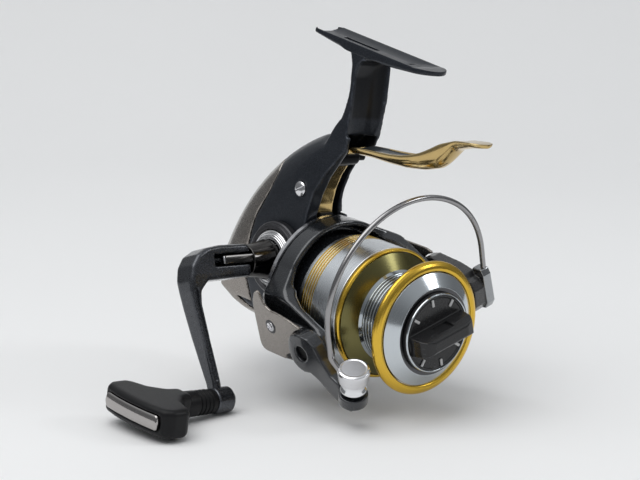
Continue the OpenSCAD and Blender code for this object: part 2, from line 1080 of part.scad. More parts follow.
// Coil on a post in the near arm's pocket.
module bail_spring() {
  color([0.6, 0.6, 0.62])
    at_rotor()
      translate([-arm_step, 50, spring_h])
        union() {
          ring_x(-2, -1.4, 4.2, 3);
          ring_x(-1.2, -0.6, 4.2, 3);
          ring_x(-1.9, 0.1, 3.8, 3.4);
        }
}

// ---- bail ----

module near_arm_side()
  polygon([[35.6, pivot_h], [35, 1.4], [33, 4.6], [30, 6], [27, 6.2], [23.5, 5.8],
    [20.4, 3.4], [17.6, -1.6], [13.4, -6.6], [9.6, -8.4], [9.4, -10], [-1.6, -13],
    [-1.8, -16], [0.6, -18.2], [5, -18.6], [10, -17.4], [15, -15], [21, -10.6],
    [24.6, -8.6], [28, -9.3], [31.4, -8.4], [33.6, -6.8], [35, -4.6]]);

module bail_arm() {
  color([0.15, 0.16, 0.18])
    at_rotor()
      difference() {
        union() {
          intersection() {
            side_view(-arm_out - 1, -arm_step - 0.3)
              near_arm_side();
            translate([-arm_out, 0, -30])
              linear_extrude(height = 60)
                polygon([[6, 40], [6, -10], [-0.6, -10], [-0.6, 20], [-1, 26],
                  [-1, 33], [0, 40]]);
            translate([-60, 8.4, -30])
              cube([60, 40, 60]);
          }
          intersection() {
            side_view(-arm_out - 3.7, 2.2 - arm_step)
              near_arm_side();
            union() {
              translate([-roll_s, roll_y, roll_h])
                rotate([roll_lean, 0, 0])
                  translate([0, 0, -8.8])
                    cylinder(h = 5.4, r = 5.4);
              translate([-roll_s - 3.4, roll_y, roll_h - 20])
                cube([6.4, 6, 20]);
            }
          }
        }
        translate([0, pivot_y, pivot_h])
          ring_x(-arm_step - 4.2, -20, pivot_r + run_gap);
        translate([0, pivot_y, pivot_h])
          ring_x(-50, -arm_step - 4.1, 3);
        translate([-roll_s, roll_y, roll_h])
          rotate([roll_lean, 0, 0])
            translate([0, 0, -7.9])
              cylinder(h = 20, r = 1.52);
        translate([-roll_s, roll_y, roll_h])
          rotate([roll_lean, 0, 0])
            translate([0, 0, -3.4])
              cylinder(h = 12, r = 6.3);
      }
}

module bail_holder() {
  color([0.1, 0.1, 0.11])
    at_rotor()
      difference() {
        union() {
          side_view(arm_step + 0.3, arm_out + 0.2)
            polygon([[35.6, pivot_h], [34.6, 2.2], [32, 5.2], [28, 6.4], [17, 5.6],
              [10.6, 4.2], [9.6, 2], [7.6, 1.6], [5.8, -2], [6.2, -8.6], [8.6, -11.6],
              [12.6, -12], [17, -9.4], [22.9, -7.6], [28, -9.3], [33, -7.2],
              [35, -4.6]]);
          side_view(arm_out, arm_out + 3.9)
            polygon([[10.6, 4.6], [6.6, 4.6], [5.6, 2.4], [5.6, -8.8], [7.2, -11.4],
              [10, -11.8], [11.4, -10], [11.6, 2.6]]);
        }
        translate([0, pivot_y, pivot_h])
          ring_x(20, arm_step + 4.2, pivot_r + run_gap);
        translate([0, pivot_y, pivot_h])
          ring_x(arm_step + 4.1, 50, 3);
        translate([0, 9, -4.6])
          ring_x(arm_step - 0.2, arm_step + 7.8, 1.05);
        translate([bail_s, wire_y, 0])
          rotate([wire_lean, 0, 0])
            translate([0, 0, -1])
              cylinder(h = 10, r = wire_d / 2 + 0.02);
      }
}

module holder_screw() {
  color([0.75, 0.75, 0.76])
    at_rotor()
      translate([arm_step - 0.6, 9, -4.6])
        rotate([0, 90, 0])
          difference() {
            union() {
              cylinder(h = 0.85, r = 1.8);
              cylinder(h = 7.6, r = 1);
            }
            cross_cuts();
          }
}

module arc_tube(radius, a0, a1)
  rotate([90, 0, 0])
    rotate([0, 0, a0])
      rotate_extrude(angle = a1 - a0, $fn = 128)
        translate([radius, 0])
          circle(d = wire_d, $fn = 24);

module wire_bead(x, z)
  translate([x, 0, z])
    sphere(d = wire_d + 0.06, $fn = 32);

module bail_wire() {
  color([0.68, 0.68, 0.7])
    at_rotor()
      union() {
        translate([0, wire_y, 0])
          rotate([wire_lean, 0, 0])
            union() {
              translate([-side_x, 0, side_h])
                arc_tube(side_r, 135, 180);
              translate([side_x, 0, side_h])
                arc_tube(side_r, 0, 45);
              translate([0, 0, top_h])
                arc_tube(top_r, 45, 135);
              for (m = [0, 1])
                mirror([m, 0, 0]) {
                  wire_bead(top_r * cos(45), top_h + top_r * sin(45));
                  wire_bead(bail_s, side_h);
                }
              translate([-bail_s, 0, 3.4])
                cylinder(h = side_h - 3.4, d = wire_d, $fn = 24);
              wire_bead(-bail_s, 3.4);
              translate([bail_s, 0, -0.8])
                cylinder(h = side_h + 0.8, d = wire_d, $fn = 24);
            }
        translate([-bail_s, wire_y - 3.4 * sin(wire_lean), 3.4 * cos(wire_lean)])
          rotate([0, 0, 27])
            rotate([148, 0, 0])
              cylinder(h = 6, d = wire_d, $fn = 24);
      }
}

module wire_cap() {
  color([0.8, 0.8, 0.81])
    difference() {
      at_roller()
        rotate_extrude()
          polygon([[0, 2.9], [4.9, 2.9], [5.6, 3.4], [5.9, 4.6], [5.9, 6], [5, 7], [3, 7.6],
            [0, 7.8]]);
      at_roller()
        translate([0, 0, -1])
          cylinder(h = 6.6, r = 1.52);
      at_rotor()
        translate([-bail_s, wire_y - 3.4 * sin(wire_lean), 3.4 * cos(wire_lean)])
          rotate([0, 0, 27])
            rotate([148, 0, 0])
              cylinder(h = 7, d = wire_d + 0.04, $fn = 24);
      }
}

module roller_pin() {
  color([0.7, 0.7, 0.72])
    at_roller()
      translate([0, 0, -7.8])
        cylinder(h = 13.2, r = 1.5);
}

module line_roller() {
  color([0.8, 0.8, 0.82])
    at_roller()
      difference() {
        rotate_extrude()
          polygon([[0, -3.1], [4.6, -3.1], [4.9, -2.6], [4.4, -1.8], [roller_d / 2, -0.6],
            [roller_d / 2, 1], [4.4, 2], [4.7, 2.6], [0, 2.6]]);
        translate([0, 0, -5])
          cylinder(h = 10, r = 1.5 + run_gap);
      }
}

// ---- spool shaft and level wind ----

module main_shaft() {
  color([0.72, 0.72, 0.74])
    place()
      union() {
        ring_y(-8.5, 86, shaft_r);
        ring_y(24.4, 25.6, 2.8);
      }
}

module slider() {
  color([0.55, 0.54, 0.5])
    place()
      difference() {
        union() {
          translate([-6.8, 78.4, -4.6])
            cube([8.8, 7.6, 10]);
          translate([worm_x - 3.2, 79.4, worm_z + worm_d / 2 + 0.3])
            cube([6.4, 5.6, 3]);
        }
        ring_y(78, 90, shaft_r);
        translate([-5.2, 0, 3.6])
          ring_y(70, 92, 1 + run_gap);
        translate([worm_x, 82.2, -8])
          cylinder(h = 10, r = 1.3);
        translate([0, 82.2, 0])
          cylinder(h = 6, r = 0.82);
      }
}

// Follower finger; it stands just clear of the worm's groove.
module pawl() {
  color([0.7, 0.7, 0.72])
    place()
      translate([worm_x, 82.2, worm_z + worm_d / 2 + 0.15])
        union() {
          cylinder(h = 3, r = 1.1);
          translate([0, 0, 1.8])
            cylinder(h = 5, r = 1.28);
        }
}

module slider_screw() {
  color([0.7, 0.7, 0.72])
    place()
      translate([0, 82.2, 0])
        union() {
          translate([0, 0, shaft_r + 0.02])
            cylinder(h = 4.5, r = 0.8);
          translate([0, 0, 5.4])
            cylinder(h = 1, r = 1.7);
        }
}

module worm_shaft() {
  color([0.66, 0.66, 0.68])
    place()
      translate([worm_x, 0, worm_z])
        difference() {
          union() {
            spur(worm_n, worm_r, worm_phase, 58.2, 61.6);
            ring_y(55.5, 96.9, 1.2);
            ring_y(62.9, 94.9, worm_d / 2);
          }
          for (i = [0:8])
            translate([0, 66 + 3 * i, 0])
              rotate([0, 0, 20])
                ring_y(-0.5, 0.5, 4, 1.9);
          for (i = [0:8])
            translate([0, 66 + 3 * i, 0])
              rotate([0, 0, -20])
                ring_y(-0.5, 0.5, 4, 1.9);
        }
}

// ---- spool ----

module spool() {
  color([0.72, 0.74, 0.76])
    place()
      difference() {
        union() {
          turned([[shaft_r + run_gap, -3.6], [13.2, -3.6], [13.2, -4.7], [16.5, -4.7],
            [lip_in - 0.3, -1.4], [lip_in - 0.3, 2.1], [arbor_r + 1, 4.6],
            [arbor_r, 5.4], [arbor_r, 15.8], [arbor_r + 1, 16.6],
            [skirt_r - 1.3, 19.8], [skirt_r - 1.3, 22], [skirt_r, 22],
            [skirt_r, 35.2], [ring_in, 35.2], [ring_in, skirt_back],
            [skirt_in, skirt_back], [skirt_in, 23.6], [skirt_in - 2.5, 21],
            [arbor_r - 1.6, 17.4], [5.4, 17.4], [5.4, 24], [shaft_r + run_gap, 24]]);
          for (i = [0:arbor_ribs])
            ring_y(6 + i * rib_step, 6.6 + i * rib_step, arbor_r + 0.45, arbor_r - 1);
        }
        // drag well in the front
        ring_y(-6, 6, 13.2, 4);
        ring_y(-6, 0, 13.2);
        // lightening holes in the back web
        for (a = [0:45:315])
          rotate([0, a, 0])
            translate([10, 0, 0])
              ring_y(8, 20, 2.2);
      }
}

module lip_ring() {
  color([0.82, 0.6, 0.1])
    place()
      turned([[lip_in, -1.3], [lip_in + 1.1, -1.6], [lip_r - 0.8, -1], [lip_r, 0],
        [lip_r, 0.8], [lip_r - 0.6, 1.7], [lip_in, 2.4]]);
}

module flange_ring() {
  color([0.82, 0.6, 0.1])
    place()
      turned([[skirt_r - 1, 19.6], [skirt_r - 0.3, 19.7], [skirt_r + 0.1, 20.2],
        [skirt_r + 0.1, 20.9], [skirt_r - 0.1, 21.7], [skirt_r - 1, 21.7]]);
}

module skirt_rings() {
  color([0.8, 0.6, 0.15])
    place()
      difference() {
        turned([[ring_in + 0.05, 35.5], [skirt_r, 35.5], [skirt_r, 41.6],
          [ring_in + 0.05, 41.6]]);
        for (i = [0:3])
          ring_y(36.4 + 1.25 * i, 36.8 + 1.25 * i, skirt_r + 2, skirt_r - 0.3);
      }
}

module drag_washers() {
  color([0.6, 0.58, 0.54])
    place()
      union() {
        ring_y(4.4, 5.7, 12.6, 4.4);
        ring_y(3, 4.1, 12.2, 4.4);
        ring_y(1.5, 2.7, 12.6, 4.4);
        ring_y(2.6, 3.1, 12, 5);
        ring_y(4, 4.5, 12, 5);
      }
}

module click_ring() {
  color([0.2, 0.2, 0.2])
    place()
      difference() {
        ring_y(17.7, 19.2, 8, 5.7);
        for (a = [0:20:340])
          rotate([0, a, 0])
            translate([8, 0, 0])
              ring_y(17, 20, 0.6);
      }
}

// ---- drag knob ----

module bar_turn()
  rotate([0, -20, 0])
    children();

module drag_knob() {
  color([0.06, 0.06, 0.065])
    place()
      difference() {
        union() {
          ring_y(-6, -1.2, 12.6);
          ring_y(-6.2, -5.8, 13.4);
          bar_turn()
            intersection() {
              translate([-13, -14.6, -4])
                cube([26, 9, 8]);
              translate([0, 0, -10])
                linear_extrude(height = 20)
                  polygon([[-13, -5], [-12.4, -11.6], [-11, -13.8], [-8, -14.6],
                    [8, -14.6], [11, -13.8], [12.4, -11.6], [13, -5]]);
              side_view(-20, 20)
                polygon([[-5, -4], [-11, -3.4], [-14, -2.7], [-14.6, -1.8],
                  [-14.6, 1.8], [-14, 2.7], [-11, 3.4], [-5, 4]]);
            }
        }
        ring_y(-9, 0, shaft_r + run_gap);
        ring_y(-5.2, -1, 6.2, 2.8);
      }
}

module knob_rim() {
  color([0.7, 0.7, 0.72])
    place()
      turned([[13.7, -4.9], [14.9, -4.9], [15.1, -5.4], [14.9, -6.4], [14.2, -6.7],
        [13.7, -6.4]]);
}

module knob_ticks() {
  color([0.7, 0.7, 0.7])
    place()
      for (a = [45, 90, 135, 225, 270, 315])
        rotate([0, -20 - a, 0])
          translate([11, -6.75, -0.4])
            cube([2.2, 0.45, 0.8]);
}

module drag_spring() {
  color([0.6, 0.6, 0.62])
    place()
      union() {
        ring_y(-4.9, -4.3, 5.8, 4.6);
        ring_y(-3.9, -3.3, 5.8, 4.6);
        ring_y(-2.9, -2.3, 5.8, 4.6);
        ring_y(-4.9, -2.3, 5.4, 5);
      }
}

// ---- brake ----

module lever_side()
  polygon([[52, 52.4], [49.5, 53.9], [35.4, 54.8], [26.4, 54.8], [17.7, 55.2], [9.3, 56.5],
    [2.2, 58.5], [-1.1, 61.5], [-5.6, 67.2], [-13.5, 69.4], [-19.4, 71], [-19.8, 72],
    [-14.5, 71.8], [-6.5, 70.8], [0.5, 68.1], [5, 65.2], [9, 63], [13, 61.4],
    [18, 60], [24, 59.1], [30, 58.5], [36, 58.1], [44, 57.4], [50, 55.6], [53, 53.4]]);

module brake_lever() {
  color([0.72, 0.58, 0.3])
    place()
      difference() {
        union() {
          intersection() {
            side_view(-7, 7)
              lever_side();
            translate([0, 0, 40])
              linear_extrude(height = 40)
                polygon([[-5.6, 56], [-5.6, 44], [-6, 30], [-6.2, 14], [-5.6, 5],
                  [-4.4, -2], [-4.3, -6], [-4.9, -11], [-4.6, -15], [-3, -17.6],
                  [3, -17.6], [4.6, -15], [4.9, -11], [4.3, -6], [4.4, -2],
                  [5.6, 5], [6.2, 14], [6, 30], [5.6, 44], [5.6, 56]]);
          }
          translate([0, 54.4, 51])
            ring_x(-5.6, 5.6, 2.9);
          side_view(-5, 2.8)
            polygon([[52, 52.4], [53.6, 49], [57, 43.5], [59.2, 38], [60.2, 32],
              [60.2, 26.6], [61.8, 26.6], [61.9, 32], [61.2, 38.6], [58.9, 44.6],
              [56.4, 49.4], [55, 52.4]]);
        }
        // trough along the top
        intersection() {
          side_view(-5.2, 5.2)
            polygon([[46.5, 60], [43, 56.3], [36, 56.6], [30, 56.8], [24, 57.3],
              [18, 58.2], [13, 59.6], [9, 61.3], [5, 63.7], [0.5, 67.1], [-4, 69.8],
              [-9, 72], [-9, 76], [46.5, 76]]);
          translate([0, 0, 50])
            linear_extrude(height = 30)
              polygon([[-3.4, 46], [-4.6, 40], [-4.8, 20], [-4.6, 8], [-3.4, 0],
                [-3.2, -9], [3.2, -9], [3.4, 0], [4.6, 8], [4.8, 20], [4.6, 40],
                [3.4, 46]]);
        }
        translate([0, 54.4, 51])
          ring_x(-10, 10, 1.5 + run_gap);
      }
}

module brake_shoe() {
  color([0.1, 0.1, 0.1])
    place()
      translate([-4, 59, 26.6])
        cube([6, 1.18, 1.9]);
}
body_housing();
side_cover();
rear_guard();
guard_screw();
side_screw();
cover_screws();
handle_collar();
seal_ring();
gear_bearing_left();
gear_bearing_right();
shaft_cap();
pinion_bearing();
clutch_housing();
lever_pin();
guide_rod();
worm_bushes();
drive_gear();
drive_shaft();
handle_barrel();
fold_pin();
handle_arm();
grip_shaft();
grip();
grip_plate();
rotor();
pinion();
rotor_nut();
clutch_sleeve();
brake_ring();
arm_cover();
arm_cover_screw();
far_arm_cover();
far_cover_screw();
bail_pivot_near();
bail_pivot_far();
bail_spring();
bail_arm();
bail_holder();
bail_wire();
wire_cap();
holder_screw();
roller_pin();
line_roller();
main_shaft();
slider();
pawl();
slider_screw();
spool();
lip_ring();
flange_ring();
skirt_rings();
drag_washers();
click_ring();
drag_knob();
knob_rim();
knob_ticks();
drag_spring();
brake_lever();
brake_shoe();
worm_shaft();
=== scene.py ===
import math

import bmesh
import bpy
import numpy as np
from mathutils import Matrix, Vector


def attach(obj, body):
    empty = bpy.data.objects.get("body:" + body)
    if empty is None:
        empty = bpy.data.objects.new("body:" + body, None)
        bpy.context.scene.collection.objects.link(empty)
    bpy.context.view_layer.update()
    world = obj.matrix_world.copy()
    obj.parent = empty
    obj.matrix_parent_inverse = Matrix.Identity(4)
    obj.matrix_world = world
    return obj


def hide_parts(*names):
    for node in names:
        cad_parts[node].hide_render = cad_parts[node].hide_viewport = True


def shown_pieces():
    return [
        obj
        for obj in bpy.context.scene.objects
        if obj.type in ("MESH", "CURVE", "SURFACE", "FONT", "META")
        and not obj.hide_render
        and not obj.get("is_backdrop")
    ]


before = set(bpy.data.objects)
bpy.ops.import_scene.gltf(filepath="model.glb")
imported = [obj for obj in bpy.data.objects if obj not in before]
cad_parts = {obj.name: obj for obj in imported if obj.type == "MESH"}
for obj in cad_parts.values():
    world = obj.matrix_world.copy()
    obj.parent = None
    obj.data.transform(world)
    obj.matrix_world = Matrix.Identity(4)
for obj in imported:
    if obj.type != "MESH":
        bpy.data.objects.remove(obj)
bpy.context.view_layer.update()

# ---- Housing with leg and foot ----
# One die casting: the gear case, the leg with its open front channel and the foot that
# the rod's reel seat grips.  Its corners are rounded by the die and by tumbling, and it
# is sprayed with a graphite metallic under a thin clear coat.
# Inside the leg's open front channel the paint is darkened towards black as painted shade.

# From the foot's seat forward to the spool's lip and down to the shaft, in mm; mm in a metre.
LIP_Y, SHAFT_Z, MM = 40.0, 92.81, 1000


class Amount:
    """A number that changes over a surface; arithmetic on it adds Math nodes."""

    def __init__(self, finish, socket):
        self.finish, self.socket = finish, socket

    def _math(self, operation, *values):
        return self.finish.node("ShaderNodeMath", {"operation": operation},
                                dict(enumerate(values)))

    def __add__(self, other):
        return self._math("ADD", self, other)

    def __sub__(self, other):
        return self._math("SUBTRACT", self, other)

    def __rsub__(self, other):
        return self._math("SUBTRACT", other, self)

    def __mul__(self, other):
        return self._math("MULTIPLY", self, other)

    def __pow__(self, other):
        return self._math("POWER", self, other)

    __radd__ = __add__
    __rmul__ = __mul__

    def between(self, low, high):
        """0 below low, 1 above high, and a soft step from one to the other."""
        return self.finish.node("ShaderNodeMapRange", {"interpolation_type": "SMOOTHSTEP"},
                                {0: self, 1: low, 2: high, 3: 0.0, 4: 1.0})


class Finish:
    """One surface finish: a Principled shader with its constants set on its own sockets."""

    def __init__(self, name, **fixed):
        self.material = bpy.data.materials.new(name)
        self.material.use_nodes = True
        self.tree = self.material.node_tree
        self.shader = self.tree.nodes["Principled BSDF"]
        for socket, value in fixed.items():
            self.shader.inputs[socket.replace("_", " ")].default_value = value
        self.place = self.node("ShaderNodeTexCoord", out="Object")

    def node(self, kind, settings=None, sockets=None, out=0):
        made = self.tree.nodes.new(kind)
        for key, value in (settings or {}).items():
            setattr(made, key, value)
        for key, value in (sockets or {}).items():
            if isinstance(value, Amount):
                self.tree.links.new(value.socket, made.inputs[key])
            else:
                made.inputs[key].default_value = value
        return Amount(self, made.outputs[out])

    def stretched(self, x, y, z):
        return self.node("ShaderNodeVectorMath", {"operation": "MULTIPLY"},
                         {0: self.place, 1: (x, y, z)})

    def noise(self, per_mm, detail=2.0, at=None):
        return self.node("ShaderNodeTexNoise", None, {
            "Vector": at or self.place, "Scale": per_mm * MM, "Detail": detail})

    def flakes(self, per_mm):
        """A random number for each metal flake in a paint."""
        cells = self.node("ShaderNodeTexVoronoi", None,
                          {"Vector": self.place, "Scale": per_mm * MM}, out="Color")
        return self.node("ShaderNodeSeparateXYZ", None, {0: cells})

    def edges(self, low=0.505, high=0.56):
        """1 along outward edges, where handling wears the surface bright."""
        worn = self.node("ShaderNodeNewGeometry", out="Pointiness")
        return worn.between(low, high)

    def mix(self, amount, first, second):
        return self.node("ShaderNodeMix", {"data_type": "RGBA"}, {0: amount, 6: first, 7: second},
                         out=2)

    def bump(self, height, depth_mm, strength=1.0):
        return self.node("ShaderNodeBump", None,
                         {"Strength": strength, "Distance": depth_mm / MM, "Height": height})

    def feed(self, **varying):
        for socket, value in varying.items():
            self.tree.links.new(value.socket, self.shader.inputs[socket.replace("_", " ")])
        return self.material


def shaded(colour, share):
    """A colour made darker or, above 1, brighter."""
    return tuple(min(1, share * c) for c in colour[:3]) + (1,)


def metallic_paint(name, dark, bright, rough, metallic=0.75, coat=0.5, rub=0.5, gloss=1.35,
                   hollow=None):
    """Sprayed metallic: flakes of two shades under an uneven coat, and edges rubbed bright.

    hollow gives 1 where painted shade darkens the paint towards black, inside a recess."""
    paint = Finish(name, Metallic=metallic, IOR=1.35, Coat_Weight=coat, Coat_Roughness=0.14,
                   Coat_IOR=gloss)
    flake = paint.flakes(4.5)
    cloud = paint.noise(0.05, 3)
    rubbed = paint.edges() * paint.noise(0.35, 4).between(0.35, 0.65)
    shade = paint.mix((flake ** 2) * 0.55 + cloud * 0.15, dark, bright)
    shade = paint.mix(rubbed * rub, shade, shaded(bright, 2.2))
    if hollow:
        # Painted shade: where hollow gives 1 the colour is mixed towards near black.
        shade = paint.mix(hollow(paint) * 0.8, shade, (0.006, 0.006, 0.007, 1))
    peel = paint.noise(1.1, 2) + flake * 0.12
    return paint.feed(Base_Color=shade,
                      Roughness=rough + (paint.noise(0.16, 4) - 0.5) * 0.16 + (flake - 0.5) * 0.1,
                      Normal=paint.bump(peel, 0.012, 0.5))


def placed(x, y, z):
    """A point measured from the spool's front lip and the shaft, in mm, in the row frame."""
    return Vector((x, y - LIP_Y, z - SHAFT_Z)) / MM


def from_lip(at):
    """Points of the row frame, measured from the lip and the shaft in mm."""
    return at * MM + [0, LIP_Y, SHAFT_Z]


def as_piece(name, mesh):
    """Turns a drawn mesh into a piece of the scene."""
    piece = bpy.data.objects.new(name, bpy.data.meshes.new(name))
    mesh.to_mesh(piece.data)
    mesh.free()
    bpy.context.scene.collection.objects.link(piece)
    return piece


def keep_mesh(piece):
    """Makes a piece's modifiers part of its mesh."""
    view = bpy.context.evaluated_depsgraph_get()
    mesh = bpy.data.meshes.new_from_object(piece.evaluated_get(view))
    piece.modifiers.clear()
    piece.data = mesh


def smooth(piece):
    piece.data.polygons.foreach_set("use_smooth", [True] * len(piece.data.polygons))


def dress(piece, finish, body, replaces=()):
    """Gives a piece its finish, the body it rides on and the nodes it stands for."""
    piece.data.materials.clear()
    piece.data.materials.append(finish)
    smooth(piece)
    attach(piece, body)
    if replaces:
        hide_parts(*replaces)
    return piece


def solid_of(node, name):
    """A copy of a node's solid, to be worked on."""
    piece = bpy.data.objects.new(name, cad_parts[node].data.copy())
    bpy.context.scene.collection.objects.link(piece)
    return piece


def cast(name, node, body, cell_mm, passes, finish, ease=None, drawn=None, shape=None):
    """A cast or moulded piece with rounded corners, from the node's solid or one drawn for it.

    The surface is laid in even cells and relaxed in passes, where ease gives each point's
    share; shape then moves the points."""
    piece = solid_of(node, name) if drawn is None else drawn
    cells = piece.modifiers.new("cells", "REMESH")
    cells.mode, cells.voxel_size = "VOXEL", cell_mm / MM
    keep_mesh(piece)
    mesh = piece.data
    at = np.zeros(len(mesh.vertices) * 3)
    mesh.vertices.foreach_get("co", at)
    at = at.reshape(-1, 3)
    pairs = np.zeros(len(mesh.edges) * 2, int)
    mesh.edges.foreach_get("vertices", pairs)
    one, two = pairs.reshape(-1, 2).T
    links = np.bincount(one, minlength=len(at)) + np.bincount(two, minlength=len(at))
    share = np.ones(len(at)) if ease is None else ease(from_lip(at))
    for _ in range(passes):
        for axis in range(3):
            column = at[:, axis]
            near = (np.bincount(one, column[two], len(at))
                    + np.bincount(two, column[one], len(at))) / links
            at[:, axis] = column + (near - column) * 0.5 * share
    if shape is not None:
        at = shape(at)
    mesh.vertices.foreach_set("co", at.ravel())
    mesh.update()
    return dress(piece, finish, body, (node,))


def eased(profile, radius, closed):
    """A profile with each corner turned into a small arc, with hold points beside it."""
    out = []
    count = len(profile)
    for i, here in enumerate(profile):
        here = Vector(here)
        if not closed and i in (0, count - 1):
            out.append(here)
            continue
        back, ahead = Vector(profile[i - 1]) - here, Vector(profile[(i + 1) % count]) - here
        if back.length < 1e-9 or ahead.length < 1e-9:
            continue
        turn = math.pi - back.angle(ahead)
        if turn < 0.12:
            out.append(here)
            continue
        reach = min(radius * math.tan(turn / 2), 0.4 * back.length, 0.4 * ahead.length)
        start, end = here + back.normalized() * reach, here + ahead.normalized() * reach
        out.append(here + back.normalized() * reach * 1.2)
        for k in range(5):
            t = k / 4
            out.append(start * (1 - t) ** 2 + here * (2 * t * (1 - t)) + end * t * t)
        out.append(here + ahead.normalized() * reach * 1.2)
    return out


def skin(mesh, one, two):
    """Faces between two loops of as many points."""
    for k in range(len(one)):
        n = (k + 1) % len(one)
        mesh.faces.new([one[k], one[n], two[n], two[k]])


def plate(name, body, outline, finish, start, right, up, low, high, bevel, segments=3, corner=0.6,
          replaces=()):
    """A piece cut to an outline in mm, low to high thick along right x up, its rims rounded.

    Without a body it is a cutter, or a shape for cast to work on."""
    right, up = Vector(right).normalized(), Vector(up).normalized()
    out = right.cross(up)
    mesh = bmesh.new()
    path = eased(outline, corner, True)
    base, top = ([mesh.verts.new(Vector(start) + (right * dot[0] + up * dot[1] + out * level) / MM)
                  for dot in path] for level in (low, high))
    caps = [mesh.faces.new(base), mesh.faces.new(top)]
    skin(mesh, base, top)
    bmesh.ops.recalc_face_normals(mesh, faces=mesh.faces)
    if bevel:
        bmesh.ops.bevel(mesh, geom=[edge for face in caps for edge in face.edges],
                        offset=bevel / MM, segments=segments, affect="EDGES", profile=0.5,
                        clamp_overlap=True)
    bmesh.ops.triangulate(mesh, faces=[face for face in mesh.faces if len(face.verts) > 4])
    bmesh.ops.recalc_face_normals(mesh, faces=mesh.faces)
    piece = as_piece(name, mesh)
    if body:
        dress(piece, finish, body, replaces)
        piece.data.set_sharp_from_angle(angle=0.7)
    return piece


def block(centre, right, up, sizes_mm):
    """A plain cutter for slots, gone once it has cut."""
    right, up = Vector(right).normalized(), Vector(up).normalized()
    turn = Matrix((right, up, right.cross(up))).transposed().to_4x4()
    size = Matrix.Diagonal([s / MM for s in sizes_mm] + [1])
    mesh = bmesh.new()
    bmesh.ops.create_cube(mesh, size=1, matrix=Matrix.Translation(centre) @ turn @ size)
    return as_piece("cutter", mesh)


def carve(piece, *cutters):
    """Cuts slots and hollows into a piece; the cutters are gone afterwards."""
    for cutter in cutters:
        cut = piece.modifiers.new("cut", "BOOLEAN")
        cut.operation, cut.object, cut.solver = "DIFFERENCE", cutter, "EXACT"
        keep_mesh(piece)
        bpy.data.objects.remove(cutter)
    return piece


def flowing(at, stations, values, soft=1.6):
    """The value along a line of stations, its corners eased over a few mm."""
    steps = np.linspace(-2, 2, 9)
    weights = np.exp(-1.5 * steps ** 2)
    return sum(weight * np.interp(at + soft * step, stations, values)
               for step, weight in zip(steps, weights)) / weights.sum()


def lofted(name, body, loops, finish, node):
    """A skin through a row of closed sections, closed at both ends."""
    mesh = bmesh.new()
    rows = [[mesh.verts.new(point) for point in loop] for loop in loops]
    for one, two in zip(rows, rows[1:]):
        skin(mesh, one, two)
    for end in (rows[0], rows[-1]):
        mesh.faces.new(end)
    bmesh.ops.recalc_face_normals(mesh, faces=mesh.faces)
    return dress(as_piece(name, mesh), finish, body, (node,))


def leg_channel_shade(paint):
    """1 inside the open front of the leg, where the paint carries painted shade."""
    x, y, z = (paint.node("ShaderNodeSeparateXYZ", None, {0: paint.place}, out=axis)
               for axis in range(3))
    aside = paint.node("ShaderNodeMath", {"operation": "ABSOLUTE"}, {0: x})
    within, front = 1 - aside.between(0.0050, 0.0058), 1 - y.between(0.0070, 0.0078)
    return within * front * z.between(-0.0265, -0.0245)


GRAPHITE = ((0.014, 0.017, 0.023, 1), (0.056, 0.063, 0.078, 1), 0.36, 0.5, 0.35)
graphite = metallic_paint("graphite_paint", *GRAPHITE)
# Housing paint with painted shade: the leg's open front channel is darkened towards black.
leg_paint_painted_shade = metallic_paint("leg_paint_painted_shade", *GRAPHITE, hollow=leg_channel_shade)
FOOT_WAY = Vector((0, math.cos(math.radians(4.55)), math.sin(math.radians(4.55))))
FOOT_OUT = Vector((1, 0, 0)).cross(FOOT_WAY)
HEEL_Y, HEEL_Z = 57.2, 61.0


def foot_under(along):
    """The height of the foot's underside over the seat, in mm."""
    return flowing(along, [-31.5, -24, -14, -8, 13, 22, 32.9],
                   [0.4, -0.4, -1.5, -2, -2, -1.1, 0.2])


def clear_of_leg(along):
    """1 where the foot stands free before and behind the leg."""
    return flowing(along, [-4, -1, 14, 17], [1, 0, 0, 1])


def housing_form(at):
    """The leg's heel runs smoothly into the guard; the foot's core stays in the drawn foot."""
    p = from_lip(at)
    near_heel = np.exp(-((p[:, 1] - HEEL_Y) ** 2 + (p[:, 2] - HEEL_Z) ** 2) / 10.0)
    at = at + np.outer(near_heel, [0, -0.0010, -0.0026])
    high, along = at @ np.array(FOOT_OUT) * MM, at @ np.array(FOOT_WAY) * MM
    over = np.maximum(0, high - foot_under(along) - 0.4)
    near_skin = np.interp(high - foot_under(along), [-0.6, -0.3], [0, 1])
    at[:, 0] *= 1 - 0.2 * clear_of_leg(along) * near_skin
    return at - np.outer(over / MM, np.array(FOOT_OUT))


def housing_ease(p):
    """The case is rounded most, the leg less and the foot least."""
    return np.where(p[:, 2] > 88, 0.22, np.where(p[:, 2] > 62, 0.6, 1.0))


cast("housing", "body_housing", "frame", 0.42, 10, leg_paint_painted_shade, housing_ease, shape=housing_form)
FOOT_HALF, NOSE_FROM, TAIL_FROM, TAIL_CORNER = 7.1, -23.3, 30.5, 2
DISH_ROUND, DISH_UP, RIM_HIGH, SKIN = 14, 13.856, 1.5, 0.12


